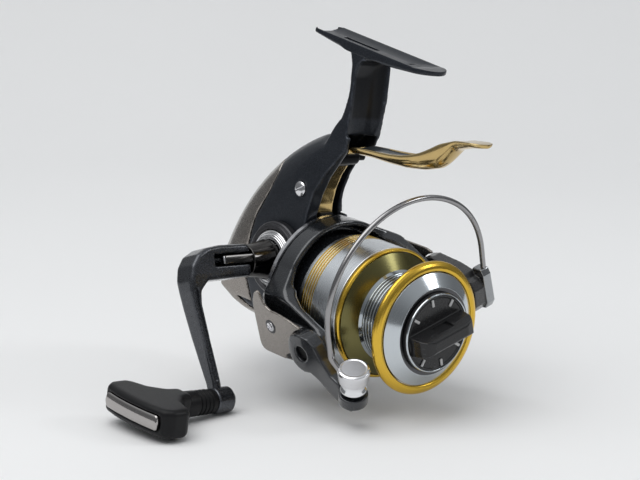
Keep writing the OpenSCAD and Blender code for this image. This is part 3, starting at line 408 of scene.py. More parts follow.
def foot_section(along):
    """The foot across the rod: a dished top, rounded rims and a flat underside."""
    half = FOOT_HALF
    if along < NOSE_FROM:
        half = math.sqrt(half ** 2 - (along - NOSE_FROM) ** 2)
    elif along > TAIL_FROM:
        half = half - TAIL_CORNER + math.sqrt(TAIL_CORNER ** 2 - (along - TAIL_FROM) ** 2)
    low, sill = foot_under(along) - SKIN / 2, 1.7 * flowing(along, [-25, -13], [1, 0], 2.0)
    rim = max(RIM_HIGH, sill) + SKIN
    soft = 0.35 * min(1, half / 2)
    across = np.linspace(soft - half, half - soft, 25)
    dish = np.clip(DISH_UP - np.sqrt(DISH_ROUND ** 2 - across ** 2), 0, RIM_HIGH)
    dish = np.maximum(dish, sill) + SKIN
    side = [(half, rim - soft), (half - 0.3 * soft, rim - 0.3 * soft)]
    shape = [(-x, z) for x, z in side] + list(zip(across, dish)) + side[::-1]
    turn = min(0.35 + 0.95 * clear_of_leg(along), 0.4 * (rim - low), 0.4 * half)
    under = [(half - turn * (1 - math.cos(a)), low + turn * (1 - math.sin(a)))
             for a in np.radians(np.arange(0, 91, 15))]
    shape += under + [(-x, z) for x, z in under[::-1]]
    return [(Vector((1, 0, 0)) * x + FOOT_WAY * along + FOOT_OUT * z) / MM for x, z in shape]


foot_paint = metallic_paint("foot_paint", *GRAPHITE, rub=0.0)
nose = NOSE_FROM - FOOT_HALF * np.cos(np.radians(np.linspace(3, 90, 25)))
tail = TAIL_FROM + TAIL_CORNER * np.sin(np.radians(np.linspace(0, 85, 10)))
stations = np.concatenate([nose, np.linspace(-22.5, 30, 70), tail])
foot = lofted("rod_foot", "frame", [foot_section(y) for y in stations], foot_paint, "body_housing")
SLOT_CUT = 3
for x, y, wide, long, floor in ((-4.15, 0, 0.8, 34, 0.1), (0.9, 13.6, 2.2, 18.5, -0.4),
                                (0.3, -15, 2.8, 1.8, -0.5)):
    middle = Vector((x, 0, 0)) + FOOT_WAY * y + FOOT_OUT * (floor + SLOT_CUT / 2)
    carve(foot, block(middle / MM, (1, 0, 0), FOOT_WAY, (wide, long, SLOT_CUT)))
smooth(foot)
foot.data.set_sharp_from_angle(angle=0.6)

# ---- Side cover ----
# The far half of the gear case, a thin casting held by two screws and painted with the
# housing so that only a fine joint line shows between them.
cast("side_cover_shell", "side_cover", "frame", 0.45, 8, graphite)

# ---- Rear guard ----
# A separate shell clipped round the back of the case and held by one screw from behind.
# It is sprayed a champagne taupe, a little glossier than the housing.
taupe = metallic_paint("taupe_paint", (0.25, 0.228, 0.208, 1), (0.40, 0.370, 0.340, 1), 0.24, 0.9,
                       0.5, 0.1)
cast("rear_guard_shell", "rear_guard", "frame", 0.42, 8, taupe)

# ---- Screws in the case ----
# Steel machine screws, nickel plated: a slotted one in the case's side, another in the
# guard's back, and two cross-heads in the cover.  A little grime dulls them in patches.


def plated_steel(name, colour, rough):
    metal = Finish(name, Metallic=1.0)
    smear = metal.noise(0.9, 5)
    grime = metal.noise(0.25, 3).between(0.62, 0.8)
    return metal.feed(Base_Color=metal.mix(grime * 0.35, colour, shaded(colour, 0.55)),
                      Roughness=rough + (smear - 0.5) * 0.12 + grime * 0.1,
                      Normal=metal.bump(metal.noise(6.0, 2), 0.002, 0.5))


def turned(name, body, profile, finish, start=placed(0, 0, 0), axis=(0, 1, 0), steps=160,
           radius=0.15, closed=True, replaces=()):
    """A lathe-turned piece.  The profile is (radius, distance along the axis) in mm."""
    axis = Vector(axis).normalized()
    across = axis.orthogonal().normalized()
    side = axis.cross(across)
    around = (2 * math.pi * k / steps for k in range(steps))
    spokes = [across * math.cos(a) + side * math.sin(a) for a in around]
    mesh = bmesh.new()
    rings = []
    for r, along in eased(profile, radius, closed):
        centre = Vector(start) + axis * (along / MM)
        if r < 1e-6:
            rings.append([mesh.verts.new(centre)])
        else:
            rings.append([mesh.verts.new(centre + spoke * (r / MM)) for spoke in spokes])
    pairs = list(zip(rings, rings[1:])) + ([(rings[-1], rings[0])] if closed else [])
    for one, two in pairs:
        for k in range(steps):
            n = (k + 1) % steps
            corners = [one[k % len(one)], one[n % len(one)], two[n % len(two)], two[k % len(two)]]
            corners = list(dict.fromkeys(corners))
            if len(corners) > 2:
                mesh.faces.new(corners)
    bmesh.ops.recalc_face_normals(mesh, faces=mesh.faces)
    return dress(as_piece(name, mesh), finish, body, replaces)


def screw(name, body, node, head, axis, radius, height, cuts, finish, shank=(0.9, 3.0), turn=0.3):
    """A domed screw head on its shank, with one slot or a cross."""
    axis = Vector(axis).normalized()
    dome = [(radius * math.sin(a), height * math.cos(a)) for a in np.linspace(0, math.pi / 2, 9)]
    stem = [(radius, -0.3), (shank[0], -0.3), (shank[0], -shank[1]), (0, -shank[1])]
    piece = turned(name, body, dome + stem, finish, head, axis, 48, 0.08, False, (node,))
    across = axis.orthogonal().normalized()
    for k in range(cuts):
        way = Matrix.Rotation(turn + k * math.pi / 2, 3, axis) @ across
        length = 5 * radius if cuts == 1 else 1.25 * radius
        carve(piece, block(Vector(head) + axis * (height / MM), way, axis.cross(way),
                           (length, 0.26 * radius, height * 1.3)))
    smooth(piece)
    piece.data.set_sharp_from_angle(angle=0.6)
    return piece


nickel = plated_steel("nickel_plate", (0.72, 0.72, 0.74, 1), 0.14)
screw("lever_side_screw", "frame", "side_screw", placed(-12.0, 63.2, 37.3), (-1, 0, 0),
      2.9, 1.0, 1, nickel, (1.2, 5.0), 1.35)
screw("guard_back_screw", "frame", "guard_screw", placed(0, 112.6, -2), (0, 1, 0),
      2.3, 1.0, 1, nickel, (1.2, 9.0))
for name, y, z, turn in (("cover_screw_heads", 64, -14.6, 0.3),
                         ("cover_screw_upper", 79, 17.6, 0.8)):
    screw(name, "frame", "cover_screws", placed(11.0, y, z), (1, 0, 0),
          2.2, 0.8, 2, nickel, (1.2, 2.8), turn)

# ---- Handle collar and seal ----
# A black ring pressed over the case's boss, then a bright turned ring with fine steps
# that the handle barrel screws up against.


def lathe_marks(metal, start, axis, per_mm):
    """Fine tool marks that run round the axis of a turned piece."""
    off = metal.node("ShaderNodeVectorMath", {"operation": "SUBTRACT"},
                     {0: metal.place, 1: tuple(start)})
    along = metal.node("ShaderNodeVectorMath", {"operation": "DOT_PRODUCT"},
                       {0: off, 1: tuple(axis)}, out=1)
    reach = metal.node("ShaderNodeVectorMath", {"operation": "LENGTH"}, {0: off}, out=1)
    out = (reach * reach - along * along + 1e-9) ** 0.5
    both = metal.node("ShaderNodeCombineXYZ", None, {0: out, 1: along, 2: 0.0})
    return metal.noise(per_mm, 3, both)


def turned_metal(name, colour, rough, start=placed(0, 0, 0), axis=(0, 1, 0), per_mm=5.0,
                 marks=0.10, shade=0.12, cut_um=1.5):
    metal = Finish(name, Metallic=1.0)
    lines = lathe_marks(metal, start, Vector(axis).normalized(), per_mm)
    haze = metal.noise(0.12, 4)
    darker = shaded(colour, 0.72)
    return metal.feed(
        Base_Color=metal.mix((lines - 0.5) * shade * 4 + haze * 0.12, colour, darker),
        Roughness=rough + (lines - 0.5) * marks + (haze - 0.5) * 0.05,
        Normal=metal.bump(lines, cut_um / 1000, 1.0))


CRANK_AXIS = placed(0, 70, 8.66)
black_ring = Finish("black_anodised", Metallic=0.6, Coat_Weight=0.3, Coat_Roughness=0.2)
ring_marks = lathe_marks(black_ring, CRANK_AXIS, (-1, 0, 0), 4.0)
black_ring = black_ring.feed(
    Base_Color=black_ring.mix(ring_marks, (0.020, 0.020, 0.023, 1), (0.050, 0.050, 0.056, 1)),
    Roughness=0.30 + (ring_marks - 0.5) * 0.2, Normal=black_ring.bump(ring_marks, 0.004))
collar_shape = [(14.2, 12.3), (14.2, 14.7), (13.7, 15.2), (13.2, 15.4), (13.2, 16.0), (12.7, 16.3),
                (11.6, 16.3), (11.2, 15.9), (11.2, 15.0), (7.3, 15.0), (7.3, 12.3)]
turned("collar_ring", "frame", collar_shape, black_ring, CRANK_AXIS, (-1, 0, 0), radius=0.2,
       replaces=("handle_collar",))
bright_ring = turned_metal("bright_turned_ring", (0.60, 0.60, 0.61, 1), 0.16, CRANK_AXIS,
                           (-1, 0, 0))
seal_shape = [(10.9, 15.3), (10.9, 16.2), (10.5, 16.5), (10.1, 16.4), (9.9, 16.6), (9.9, 17.2),
              (9.6, 17.5), (9.3, 17.4), (9.1, 17.2), (8.8, 17.5), (8.3, 17.5), (8.1, 17.2),
              (7.6, 17.4), (7.6, 15.3)]
turned("seal_bright_ring", "frame", seal_shape, bright_ring, CRANK_AXIS, (-1, 0, 0), radius=0.12,
       replaces=("seal_ring",))

# ---- Bearings, clutch and level wind ----
# Hidden inside the case: hardened steel bearings and shafts, a cast zinc drive gear, a
# brass pinion and pawl.  They carry a film of oil, which darkens them in patches.


def oiled(name, colour, rough, metallic=1.0):
    metal = Finish(name, Metallic=metallic)
    film = metal.noise(0.3, 4).between(0.4, 0.7)
    return metal.feed(Base_Color=metal.mix(film * 0.5, colour, shaded(colour, 0.5)),
                      Roughness=rough + (metal.noise(1.5, 3) - 0.5) * 0.2 - film * 0.08,
                      Normal=metal.bump(metal.noise(4.0, 3), 0.004))


steel = oiled("ground_steel", (0.62, 0.62, 0.64, 1), 0.26)
brass = oiled("machined_brass", (0.72, 0.50, 0.20, 1), 0.26)
zinc = oiled("cast_zinc", (0.48, 0.48, 0.50, 1), 0.42)
acetal = oiled("acetal_bush", (0.72, 0.70, 0.64, 1), 0.45, 0.0)
rubber = oiled("shoe_rubber", (0.03, 0.03, 0.03, 1), 0.7, 0.0)
black_steel_and_hole_shade = oiled("black_oxide_steel_and_hole_shade", (0.012, 0.012, 0.013, 1), 0.4)


def finish_nodes(finish, *nodes):
    """Gives the nodes' own solids a finish."""
    for node in nodes:
        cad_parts[node].data.materials.clear()
        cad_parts[node].data.materials.append(finish)


finish_nodes(steel, "gear_bearing_left", "gear_bearing_right", "pinion_bearing", "clutch_housing",
             "guide_rod", "drive_shaft", "fold_pin", "grip_shaft", "rotor_nut", "clutch_sleeve",
             "brake_ring", "bail_spring", "roller_pin", "main_shaft", "slider_screw", "worm_shaft",
             "click_ring", "drag_spring")
finish_nodes(brass, "pinion", "pawl")
finish_nodes(zinc, "drive_gear", "slider")
finish_nodes(acetal, "worm_bushes")
finish_nodes(rubber, "brake_shoe")
# Near-black black oxide; on the near bail pivot it also stands in as painted shade of its hole.
finish_nodes(black_steel_and_hole_shade, "bail_pivot_near", "bail_pivot_far", "lever_pin")

# ---- Shaft cap ----
# A turned cap screwed into the gear shaft's open end on the side without the handle,
# with a coin slot for taking it off.
cap_shape = [(0, 11.5), (7.2, 11.5), (7.4, 12.2), (7.0, 13.6), (5.6, 14.4), (0, 14.5)]
cap = turned("shaft_end_cap", "frame", cap_shape, bright_ring, CRANK_AXIS, (1, 0, 0), closed=False,
             replaces=("shaft_cap",))
carve(cap, block(CRANK_AXIS + Vector((0.0148, 0, 0)), (0, 1, 0.3), (1, 0, 0), (20, 2.0, 1.5)))
cap.data.set_sharp_from_angle(angle=0.7)

# ---- Handle barrel ----
# Turned and bright-plated in black nickel.  It screws into the drive gear, ends in the
# hinge tongue, and carries the latch bar whose chamfered end shows in the crank.
TILT = math.radians(23.1)
DOWN = Vector((0, -math.sin(TILT), -math.cos(TILT)))
BACK = Vector((0, math.cos(TILT), -math.sin(TILT)))
black_nickel = turned_metal("black_nickel", (0.085, 0.082, 0.08, 1), 0.11, CRANK_AXIS, (-1, 0, 0),
                            2.5, 0.05, 0.2, 0.8)
barrel_shape = [(0, 17.9), (7.2, 17.9), (7.6, 18.6), (7.6, 19.8), (7.1, 21.6), (6.5, 25.2),
                (6.2, 28.0), (6.1, 29.2), (0, 29.2)]
turned("barrel", "drive", barrel_shape, black_nickel, CRANK_AXIS, (-1, 0, 0), radius=0.4,
       closed=False, replaces=("handle_barrel",))
tongue_shape = [(-31.2, 2.9), (-28.8, 2.9), (-28.8, 5.9), (-31.2, 5.9), (-32.3, 5.4), (-32.7, 4.4),
                (-32.3, 3.4)]
plate("hinge_tongue", "drive", tongue_shape, black_nickel, CRANK_AXIS, (1, 0, 0), BACK, -2.2, 2.2,
      0.12)
bar_shape = [(-42.6, -5.4), (-28.6, -5.4), (-28.6, -2.8), (-42.6, -2.8)]
plate("latch_bar", "drive", bar_shape, black_nickel, CRANK_AXIS, (1, 0, 0), BACK, -1.2, 2.2, 0.35)
bar_end_shape = [(-43.0, -5.1), (-42.3, -5.3), (-42.3, -2.9), (-43.0, -3.1)]
plate("latch_end", "drive", bar_end_shape, nickel, CRANK_AXIS, (1, 0, 0), BACK, -0.9, 1.9, 0.12)

# ---- Crank ----
# A cast arm, slotted for the hinge tongue and hollow down its front face, painted dark
# metallic.  Its edges are lightened, partly as rubbed wear and partly as a painted highlight
# along the edge between its rounded outside and its flat face.
# The rub share lightens the edges: wear, and a painted highlight along the crank's ridge.
crank_paint = metallic_paint("crank_paint", (0.045, 0.048, 0.054, 1), (0.105, 0.11, 0.125, 1),
                             0.27, 0.8, 0.7, 0.5)
arm_shape = [(-30.1, 6.1), (-44, 6.3), (-50, 5.6), (-54.6, 3.4), (-57.6, -0.4), (-59.0, -5.5),
             (-58.9, -10), (-58.2, -16), (-55.9, -30), (-53.6, -44), (-53.3, -52.2),
             (-49.4, -52.2), (-50.2, -43), (-52.9, -28), (-54.6, -15), (-54.2, -10.2),
             (-50.6, -6.6), (-30.1, -6.1)]
arm = plate("crank_arm", None, arm_shape, None, CRANK_AXIS, (1, 0, 0), -DOWN, -4, 4, 1.3, 4, 2.0)
hinge = CRANK_AXIS + Vector((-0.037, 0, 0)) - BACK * 0.0018 - DOWN * 0.0006
slot = block(hinge, (1, 0, 0), -DOWN, (20, 4.6, 6.8))
trench_shape = [(-57.6, -9), (-57.2, -16), (-54.9, -30), (-52.8, -43.5), (-51.3, -43.5),
                (-53.6, -28), (-55.9, -14), (-55.9, -9)]
trench = plate("trench", None, trench_shape, None, CRANK_AXIS, (1, 0, 0), -DOWN, 2.6, 6, 0, 1, 0.7)
carve(arm, slot, trench)


def crank_widths(at):
    """Widest at the hinge, narrowing down the arm to the grip's pin."""
    down, back = np.array(DOWN), np.array(BACK)
    off = at - np.array(CRANK_AXIS)
    wide = np.interp(off @ down * MM, [-7, 4, 9, 14, 26, 36, 45, 53],
                     [5.7, 5.2, 4.6, 4.3, 4.0, 3.3, 2.5, 2.5])
    return at + np.outer((off @ back) * (wide / 4 - 1), back)


cast("crank_arm", "handle_arm", "crank", 0.27, 14, crank_paint, None, arm, crank_widths)
GRIP_AXIS = CRANK_AXIS + DOWN * 0.0503
knuckle_shape = [(2.0, 46.2), (4.9, 46.2), (4.9, 53.7), (2.0, 53.7)]
turned("crank_knuckle", "crank", knuckle_shape, crank_paint, GRIP_AXIS, (-1, 0, 0), radius=0.8,
       replaces=("handle_arm",))

# ---- Grip ----
# Moulded in black: a ribbed neck and a cross bar with rounded edges, spinning on a steel
# pin.  A curved metal plate, dark nickel plated, is set into the bar's outer face.
moulded = Finish("moulded_black", Specular_IOR_Level=0.22)
spark = moulded.noise(3.0, 3)
handled = moulded.edges(0.51, 0.58) * moulded.noise(0.3, 4).between(0.4, 0.7)
moulded = moulded.feed(
    Base_Color=moulded.mix(handled * 0.6, (0.007, 0.007, 0.008, 1), (0.03, 0.03, 0.032, 1)),
    Roughness=0.42 + (spark - 0.5) * 0.25 - handled * 0.1,
    Normal=moulded.bump(spark, 0.02, 0.5))
cross_bar_shape = [(-66, -4.6), (-71, -5.6), (-75.5, -10.5), (-77.4, -17), (-79.5, -19.6),
                   (-87.5, -19.6), (-90.4, -17), (-91, -9), (-91, 9), (-90.4, 17), (-87.5, 19.6),
                   (-79.5, 19.6), (-77.4, 17), (-75.5, 10.5), (-71, 5.6), (-66, 4.6)]
bar = plate("grip_bar", None, cross_bar_shape, None, GRIP_AXIS, (1, 0, 0), (0, 1, 0), -5.3, 5.3,
            2.3, 5, 2.8)
oval = [(-15.4, -3.0), (15.4, -3.0), (15.9, 0), (15.4, 3.0), (-15.4, 3.0), (-15.9, 0)]
recess = plate("recess", None, oval, None, GRIP_AXIS, (0, 1, 0), (0, 0, 1), -95, -89.7, 0, 1, 2.4)
carve(bar, recess)
BOW = 4.5


def bowed(at):
    """The bar's outer face curves back towards its ends."""
    outer = np.interp((at[:, 0] - GRIP_AXIS.x) * MM, [-88, -80], [1, 0])
    return at + np.outer(outer * BOW * (at[:, 1] - GRIP_AXIS.y) ** 2, [1, 0, 0])


cast("grip_bar", "grip", "grip", 0.3, 10, moulded, None, bar, bowed)
neck = [(1.99, 53.9), (4.5, 53.9)]
for ridge in range(4):
    at = 56.0 + 1.75 * ridge
    neck += [(4.6, at), (4.2, at + 0.2), (4.2, at + 0.7), (4.8, at + 0.9)]
turned("grip_neck", "grip", neck + [(4.9, 66), (4.6, 70), (1.99, 70)], moulded, GRIP_AXIS,
       (-1, 0, 0), radius=0.2, replaces=("grip",))
dark_nickel = plated_steel("dark_nickel", (0.42, 0.40, 0.39, 1), 0.12)
inset = plate("grip_inset", None, [(0.97 * a, 0.95 * b) for a, b in oval], None, GRIP_AXIS,
              (0, 1, 0), (0, 0, 1), -91.8, -89.8, 0.5, 3, 2.2)


def crowned(at):
    """The plate follows the bar and is also rounded from edge to edge."""
    return bowed(at) + np.outer(70.0 * (at[:, 2] - GRIP_AXIS.z) ** 2, [1, 0, 0])


cast("grip_inset", "grip_plate", "grip", 0.16, 4, dark_nickel, None, inset, crowned)

# ---- Rotor ----
# One casting: the back disc and two arms swept forward round the spool, with a rim that
# stays crisp under the paint.  It turns on the pinion behind the spool.
rotor_paint = metallic_paint("rotor_paint", (0.014, 0.016, 0.019, 1), (0.042, 0.046, 0.055, 1),
                             0.25, 0.6, 1.0, 0.0, 1.55)
cast("rotor_frame", "rotor", "rotor", 0.36, 14, rotor_paint)

# ---- Arm covers ----
# Pressed covers over the outside of both arms, hiding the bail spring, painted taupe like
# the rear guard.  Each is held by one small cross-head screw.
TURN = math.radians(22)
OUTWARD = Vector((math.cos(TURN), 0, math.sin(TURN)))
UPRIGHT = Vector((-math.sin(TURN), 0, math.cos(TURN)))
FORWARD = Vector((0, -1, 0))


def on_rotor(s, y, h):
    """A point s out along the bail's axis, y back from the lip and h up, in mm."""
    return placed(0, 0, 0) + (OUTWARD * s + Vector((0, y, 0)) + UPRIGHT * h) / MM


cast("near_arm_cover", "arm_cover", "rotor", 0.17, 4, taupe)
cast("far_arm_cover_shell", "far_arm_cover", "rotor", 0.2, 4, taupe)
screw("near_cover_screw", "rotor", "arm_cover_screw", on_rotor(-33.9, 47.2, 2.7), -OUTWARD,
      1.9, 0.7, 2, nickel, (1.0, 4.0))
recess_shape = [(1.3, -0.05), (2.7, -0.05), (2.75, 0.06), (2.6, 0.1), (1.3, 0.1)]
turned("cover_screw_recess", "rotor", recess_shape, black_ring, on_rotor(-33.8, 47.2, 2.7),
       -OUTWARD, 64, 0.02)
screw("far_cover_screw_head", "rotor", "far_cover_screw", on_rotor(33.9, 47.2, 2.7), OUTWARD,
      2.3, 0.85, 2, nickel, (1.0, 4.0))

# ---- Bail arm and wire holder ----
# The near arm swings the line roller; its head turns on a pivot sunk in a hole, the pivot
# coloured near black as painted shade of the hole.  The far holder is gloss black with a
# bright plated cap, into which the wire's end is set.
gloss_black = Finish("gloss_black", Coat_Weight=0.8, Coat_Roughness=0.08)
dust = gloss_black.noise(0.5, 5)
gloss_black = gloss_black.feed(
    Base_Color=gloss_black.mix(dust, (0.010, 0.010, 0.011, 1), (0.028, 0.028, 0.030, 1)),
    Roughness=0.28 + (dust - 0.5) * 0.16,
    Normal=gloss_black.bump(gloss_black.noise(1.2, 2), 0.006))
arm_paint = metallic_paint("bail_arm_paint", (0.016, 0.018, 0.021, 1), (0.052, 0.056, 0.066, 1),
                           0.22, 0.6, 1.0, 0.0, 1.55)


def cup_form(at):
    """The cup's underside is blunt, not pointed."""
    high = (at - np.array(placed(0, 0, 0))) @ np.array(UPRIGHT) * MM
    return at + np.outer(np.maximum(0, -16.9 - high) * 0.0007, np.array(UPRIGHT))


cast("bail_near_arm", "bail_arm", "bail", 0.2, 22, arm_paint, shape=cup_form)
cast("bail_far_holder", "bail_holder", "bail", 0.2, 5, gloss_black)
chrome = plated_steel("bright_chrome", (0.35, 0.36, 0.37, 1), 0.17)
cap_face = [(10.9, 4.8), (6.4, 4.8), (5.4, 2.4), (5.4, -9.0), (7.1, -11.6), (10.1, -12.0),
            (11.6, -10.2), (11.8, 2.7)]
plate("holder_cap", "bail", cap_face, chrome, on_rotor(0, 0, 0), (0, 1, 0), UPRIGHT, 35.5, 39.45,
      0.9, 4)
screw("holder_cross_screw", "bail", "holder_screw", on_rotor(30.4, 9, -4.6), -OUTWARD,
      1.8, 0.7, 2, nickel, (0.9, 3.0))

# ---- Bail wire ----
# Stainless wire bent to a wide hoop, belt-polished along its length.  One end is pinned
# in the far holder and the other is drawn into the cap beside the line roller.
WIRE_LEAN = math.radians(5)


def hoop_point(s, h):
    """A point of the hoop, s out along the bail's axis and h up in its leaning plane."""
    return (s, 8.0 - h * math.sin(WIRE_LEAN), h * math.cos(WIRE_LEAN))


def hoop_arc(s, h, radius, first, last, count):
    """An arc of the hoop about s and h, from one angle to another in degrees."""
    return [hoop_point(s + radius * math.cos(a), h + radius * math.sin(a))
            for a in np.radians(np.linspace(first, last, count))]


SHOULDER = 12.84
hoop = [(-36.3, 4.36, -2.63), (-36.8, 5.34, -0.86)]
hoop += [hoop_point(-38, h) for h in np.linspace(3.9, SHOULDER, 8)]
hoop += hoop_arc(-4, SHOULDER, 34, 178, 136, 22)
hoop += hoop_arc(0, 8.84, 39.66, 135, 45, 48)
hoop += hoop_arc(4, SHOULDER, 34, 44, 2, 22)
hoop += [hoop_point(38, h) for h in np.linspace(SHOULDER, -0.8, 8)]


def drawn_wire(name, body, path, radius, finish, node, sides=20):
    """Round wire along a path, with eased bends."""
    dots = np.array(path, float)
    for _ in range(2):
        cut = [dots[0]]
        for a, b in zip(dots, dots[1:]):
            cut += [a * 0.75 + b * 0.25, a * 0.25 + b * 0.75]
        dots = np.array(cut + [dots[-1]])
    dots = [on_rotor(*p) for p in dots]
    loops, side = [], None
    for k, dot in enumerate(dots):
        way = (dots[min(k + 1, len(dots) - 1)] - dots[max(k - 1, 0)]).normalized()
        side = way.orthogonal() if side is None else side - way * side.dot(way)
        side = side.normalized()
        other = way.cross(side)
        around = (2 * math.pi * i / sides for i in range(sides))
        spokes = [side * math.cos(a) + other * math.sin(a) for a in around]
        loops.append([dot + spoke * radius / MM for spoke in spokes])
    return lofted(name, body, loops, finish, node)


wire_steel = plated_steel("belt_polished_wire", (0.34, 0.335, 0.34, 1), 0.22)
drawn_wire("bail_hoop", "bail", hoop, 1.05, wire_steel, "bail_wire")

# ---- Line roller and cap ----
# The roller is turned and plated, with a waist that the line runs in; a drum-shaped cap
# of polished aluminium stands above it and closes the wire's end.
LEAN = math.radians(15)
ROLLER = on_rotor(-33.6, 3.3, -6.9)
ROLLER_WAY = UPRIGHT * math.cos(LEAN) + FORWARD * math.sin(LEAN)
polished = turned_metal("polished_aluminium", (0.72, 0.72, 0.74, 1), 0.20, ROLLER, ROLLER_WAY, 3.0,
                        0.05)
roller_chrome = turned_metal("roller_chrome", (0.80, 0.81, 0.83, 1), 0.08, ROLLER, ROLLER_WAY, 3.0,
                             0.03)
end_cap_shape = [(0, 2.9), (5.1, 2.9), (5.1, 1.5), (5.4, 1.4), (5.6, 2.4), (5.95, 5.8), (5.7, 6.7),
                 (4.9, 7.1), (4.4, 6.9), (0, 6.9)]
turned("wire_end_cap", "bail", end_cap_shape, polished, ROLLER, ROLLER_WAY, 96, 0.4, False,
       ("wire_cap",))
roller_shape = [(1.56, -3.1), (4.4, -3.1), (4.8, -2.8), (4.7, -2.3), (4.1, -1.2), (3.9, 0.2),
                (4.1, 1.6), (4.6, 2.2), (4.5, 2.6), (1.56, 2.6)]
turned("roller", "roller", roller_shape, roller_chrome, ROLLER, ROLLER_WAY, 96, 0.3, True,
       ("line_roller",))

# ---- Main shaft and spool ----
# The spool is machined from one aluminium billet: a polished ribbed arbor, a chromed
# cone below the lip and a skirt that drops over the rotor, satin blasted with gold rings.
FINE_CUT = {"per_mm": 2.5, "marks": 0.05, "shade": 0.06, "cut_um": 0.6}
spool_steel = turned_metal("bright_spool", (0.46, 0.50, 0.53, 1), 0.12, **FINE_CUT)
cone_chrome = turned_metal("cone_chrome", (0.58, 0.62, 0.65, 1), 0.14, per_mm=2.0, marks=0.03,
                           shade=0.05, cut_um=0.4)
satin = turned_metal("satin_skirt", (0.74, 0.77, 0.80, 1), 0.27, shade=0.08)
arbor = [(5.4, 24.0), (5.4, 17.4), (14.9, 17.4), (21.0, 21.0), (23.5, 23.6), (23.5, 43.5),
         (24.0, 43.5), (24.0, 35.2), (24.5, 35.2), (24.5, 22.0), (23.2, 22.0), (23.2, 19.8),
         (17.5, 16.6)]
for ridge in range(7):
    at = 15.0 - 1.5 * ridge
    arbor += [(16.5, at + 0.55), (16.95, at + 0.3), (16.95, at - 0.3), (16.5, at - 0.55)]
arbor += [(16.5, 5.4), (17.5, 4.6), (21.2, 2.1), (21.2, -1.4), (16.5, -4.7), (13.2, -4.7),
          (13.2, 6.0), (1.85, 6.0), (1.85, 24.0)]
spool = turned("spool_turning", "spool", arbor, spool_steel, radius=0.3, steps=240,
               replaces=("spool",))
# The flange's sloping band: its gold darkened to olive as a painted reflection.
flange_painted_reflection = turned_metal("flange_gold_painted_reflection", (0.17, 0.155, 0.065, 1), 0.2, **FINE_CUT)
# A dark turned finish for the skirt's rear edge, also used as painted shadow inside the drag well.
ring_dark_and_well_shadow = turned_metal("dark_skirt_ring_and_well_shadow", (0.10, 0.10, 0.105, 1), 0.28, shade=0.08)
groove_steel = turned_metal("arbor_groove", (0.13, 0.145, 0.16, 1), 0.2, **FINE_CUT)
for zone in (cone_chrome, flange_painted_reflection, satin, ring_dark_and_well_shadow, groove_steel):
    spool.data.materials.append(zone)


def round_place(face):
    """How far a face lies out from the shaft and back from the lip, in mm."""
    return math.hypot(face.center.x, face.center.z + SHAFT_Z / MM) * MM, face.center.y * MM + LIP_Y


CONE, FLANGE, SKIRT, DARK_AND_WELL_SHADOW, GROOVE = 1, 2, 3, 4, 5
for face in spool.data.polygons:
    out, y = round_place(face)
    # Painted shadow: the spool's ring inside the drag well, round the knob, gets the dark finish.
    if y < -4 and 13.3 < out < 16.1:
        face.material_index = DARK_AND_WELL_SHADOW
    elif y < 0 and out > 13.3:
        face.material_index = CONE
    # Painted reflection: the flange's sloping band gets the dark olive gold.
    elif 16.3 < y < 21.5 and out > 17.2:
        face.material_index = FLANGE
    elif 5.0 < y < 15.8 and out < 16.75:
        face.material_index = GROOVE
    elif out > 23.8 and y > 41.0:
        face.material_index = DARK_AND_WELL_SHADOW
    elif out > 23.8 and y > 21.0:
        face.material_index = SKIRT

# ---- Gold rings of the spool ----
# The lip and the flange's edge are anodised gold after turning; five fine gold rings run
# round the rear of the skirt, one tool width apart.
gold = Finish("gold_anodised", Metallic=1.0)
lines = lathe_marks(gold, placed(0, 0, 0), Vector((0, 1, 0)), 3.0)
cloud = gold.noise(0.08, 3)
yellow, deep = (0.76, 0.50, 0.07, 1), (0.5928, 0.33, 0.035, 1)
gold = gold.feed(Base_Color=gold.mix((lines - 0.5) * 0.4 + cloud * 0.3, yellow, deep),
                 Roughness=0.25 + (lines - 0.5) * 0.12, Normal=gold.bump(lines, 0.0012))
lip_shape = [(21.5, -1.3), (22.6, -1.6), (23.5, -1.35), (24.3, -0.9), (24.9, -0.2), (25.05, 0.4),
             (24.9, 1.1), (24.3, 1.8), (22.6, 2.3), (21.5, 2.4)]
turned("spool_lip", "spool", lip_shape, gold, radius=0.5, steps=240, replaces=("lip_ring",))
flange_shape = [(23.5, 19.6), (24.2, 19.7), (24.6, 20.2), (24.6, 20.9), (24.4, 21.7), (23.5, 21.7)]
turned("flange_edge", "spool", flange_shape, gold, radius=0.3, steps=240,
       replaces=("flange_ring",))
RING_FROM, RING_STEP = 35.5, 1.28
fine_rings = [(24.05, RING_FROM)]
for ring in range(5):
    at = RING_FROM + RING_STEP * ring
    fine_rings += [(24.5, at), (24.5, at + 0.58), (24.3, at + 0.64), (24.3, at + 1.22)]
fine_rings = fine_rings[:-1] + [(24.3, 41.6), (24.05, 41.6)]
rings = turned("skirt_gold_rings", "spool", fine_rings, gold, radius=0.05, steps=240,
               replaces=("skirt_rings",))
rings.data.materials.append(satin)
for face in rings.data.polygons:
    face.material_index = int(round_place(face)[0] < 24.38)

# ---- Drag inside the spool ----
# Felt washers between steel plates in the well behind the knob, pressed by the knob's
# coil spring; the click ring's teeth are stamped.
felt = Finish("felt_washer")
nap = felt.noise(3.0, 5)
felt = felt.feed(Base_Color=felt.mix(nap, (0.16, 0.13, 0.09, 1), (0.33, 0.28, 0.20, 1)),
                 Roughness=0.8 + (nap - 0.5) * 0.2, Normal=felt.bump(nap, 0.08))
finish_nodes(felt, "drag_washers")

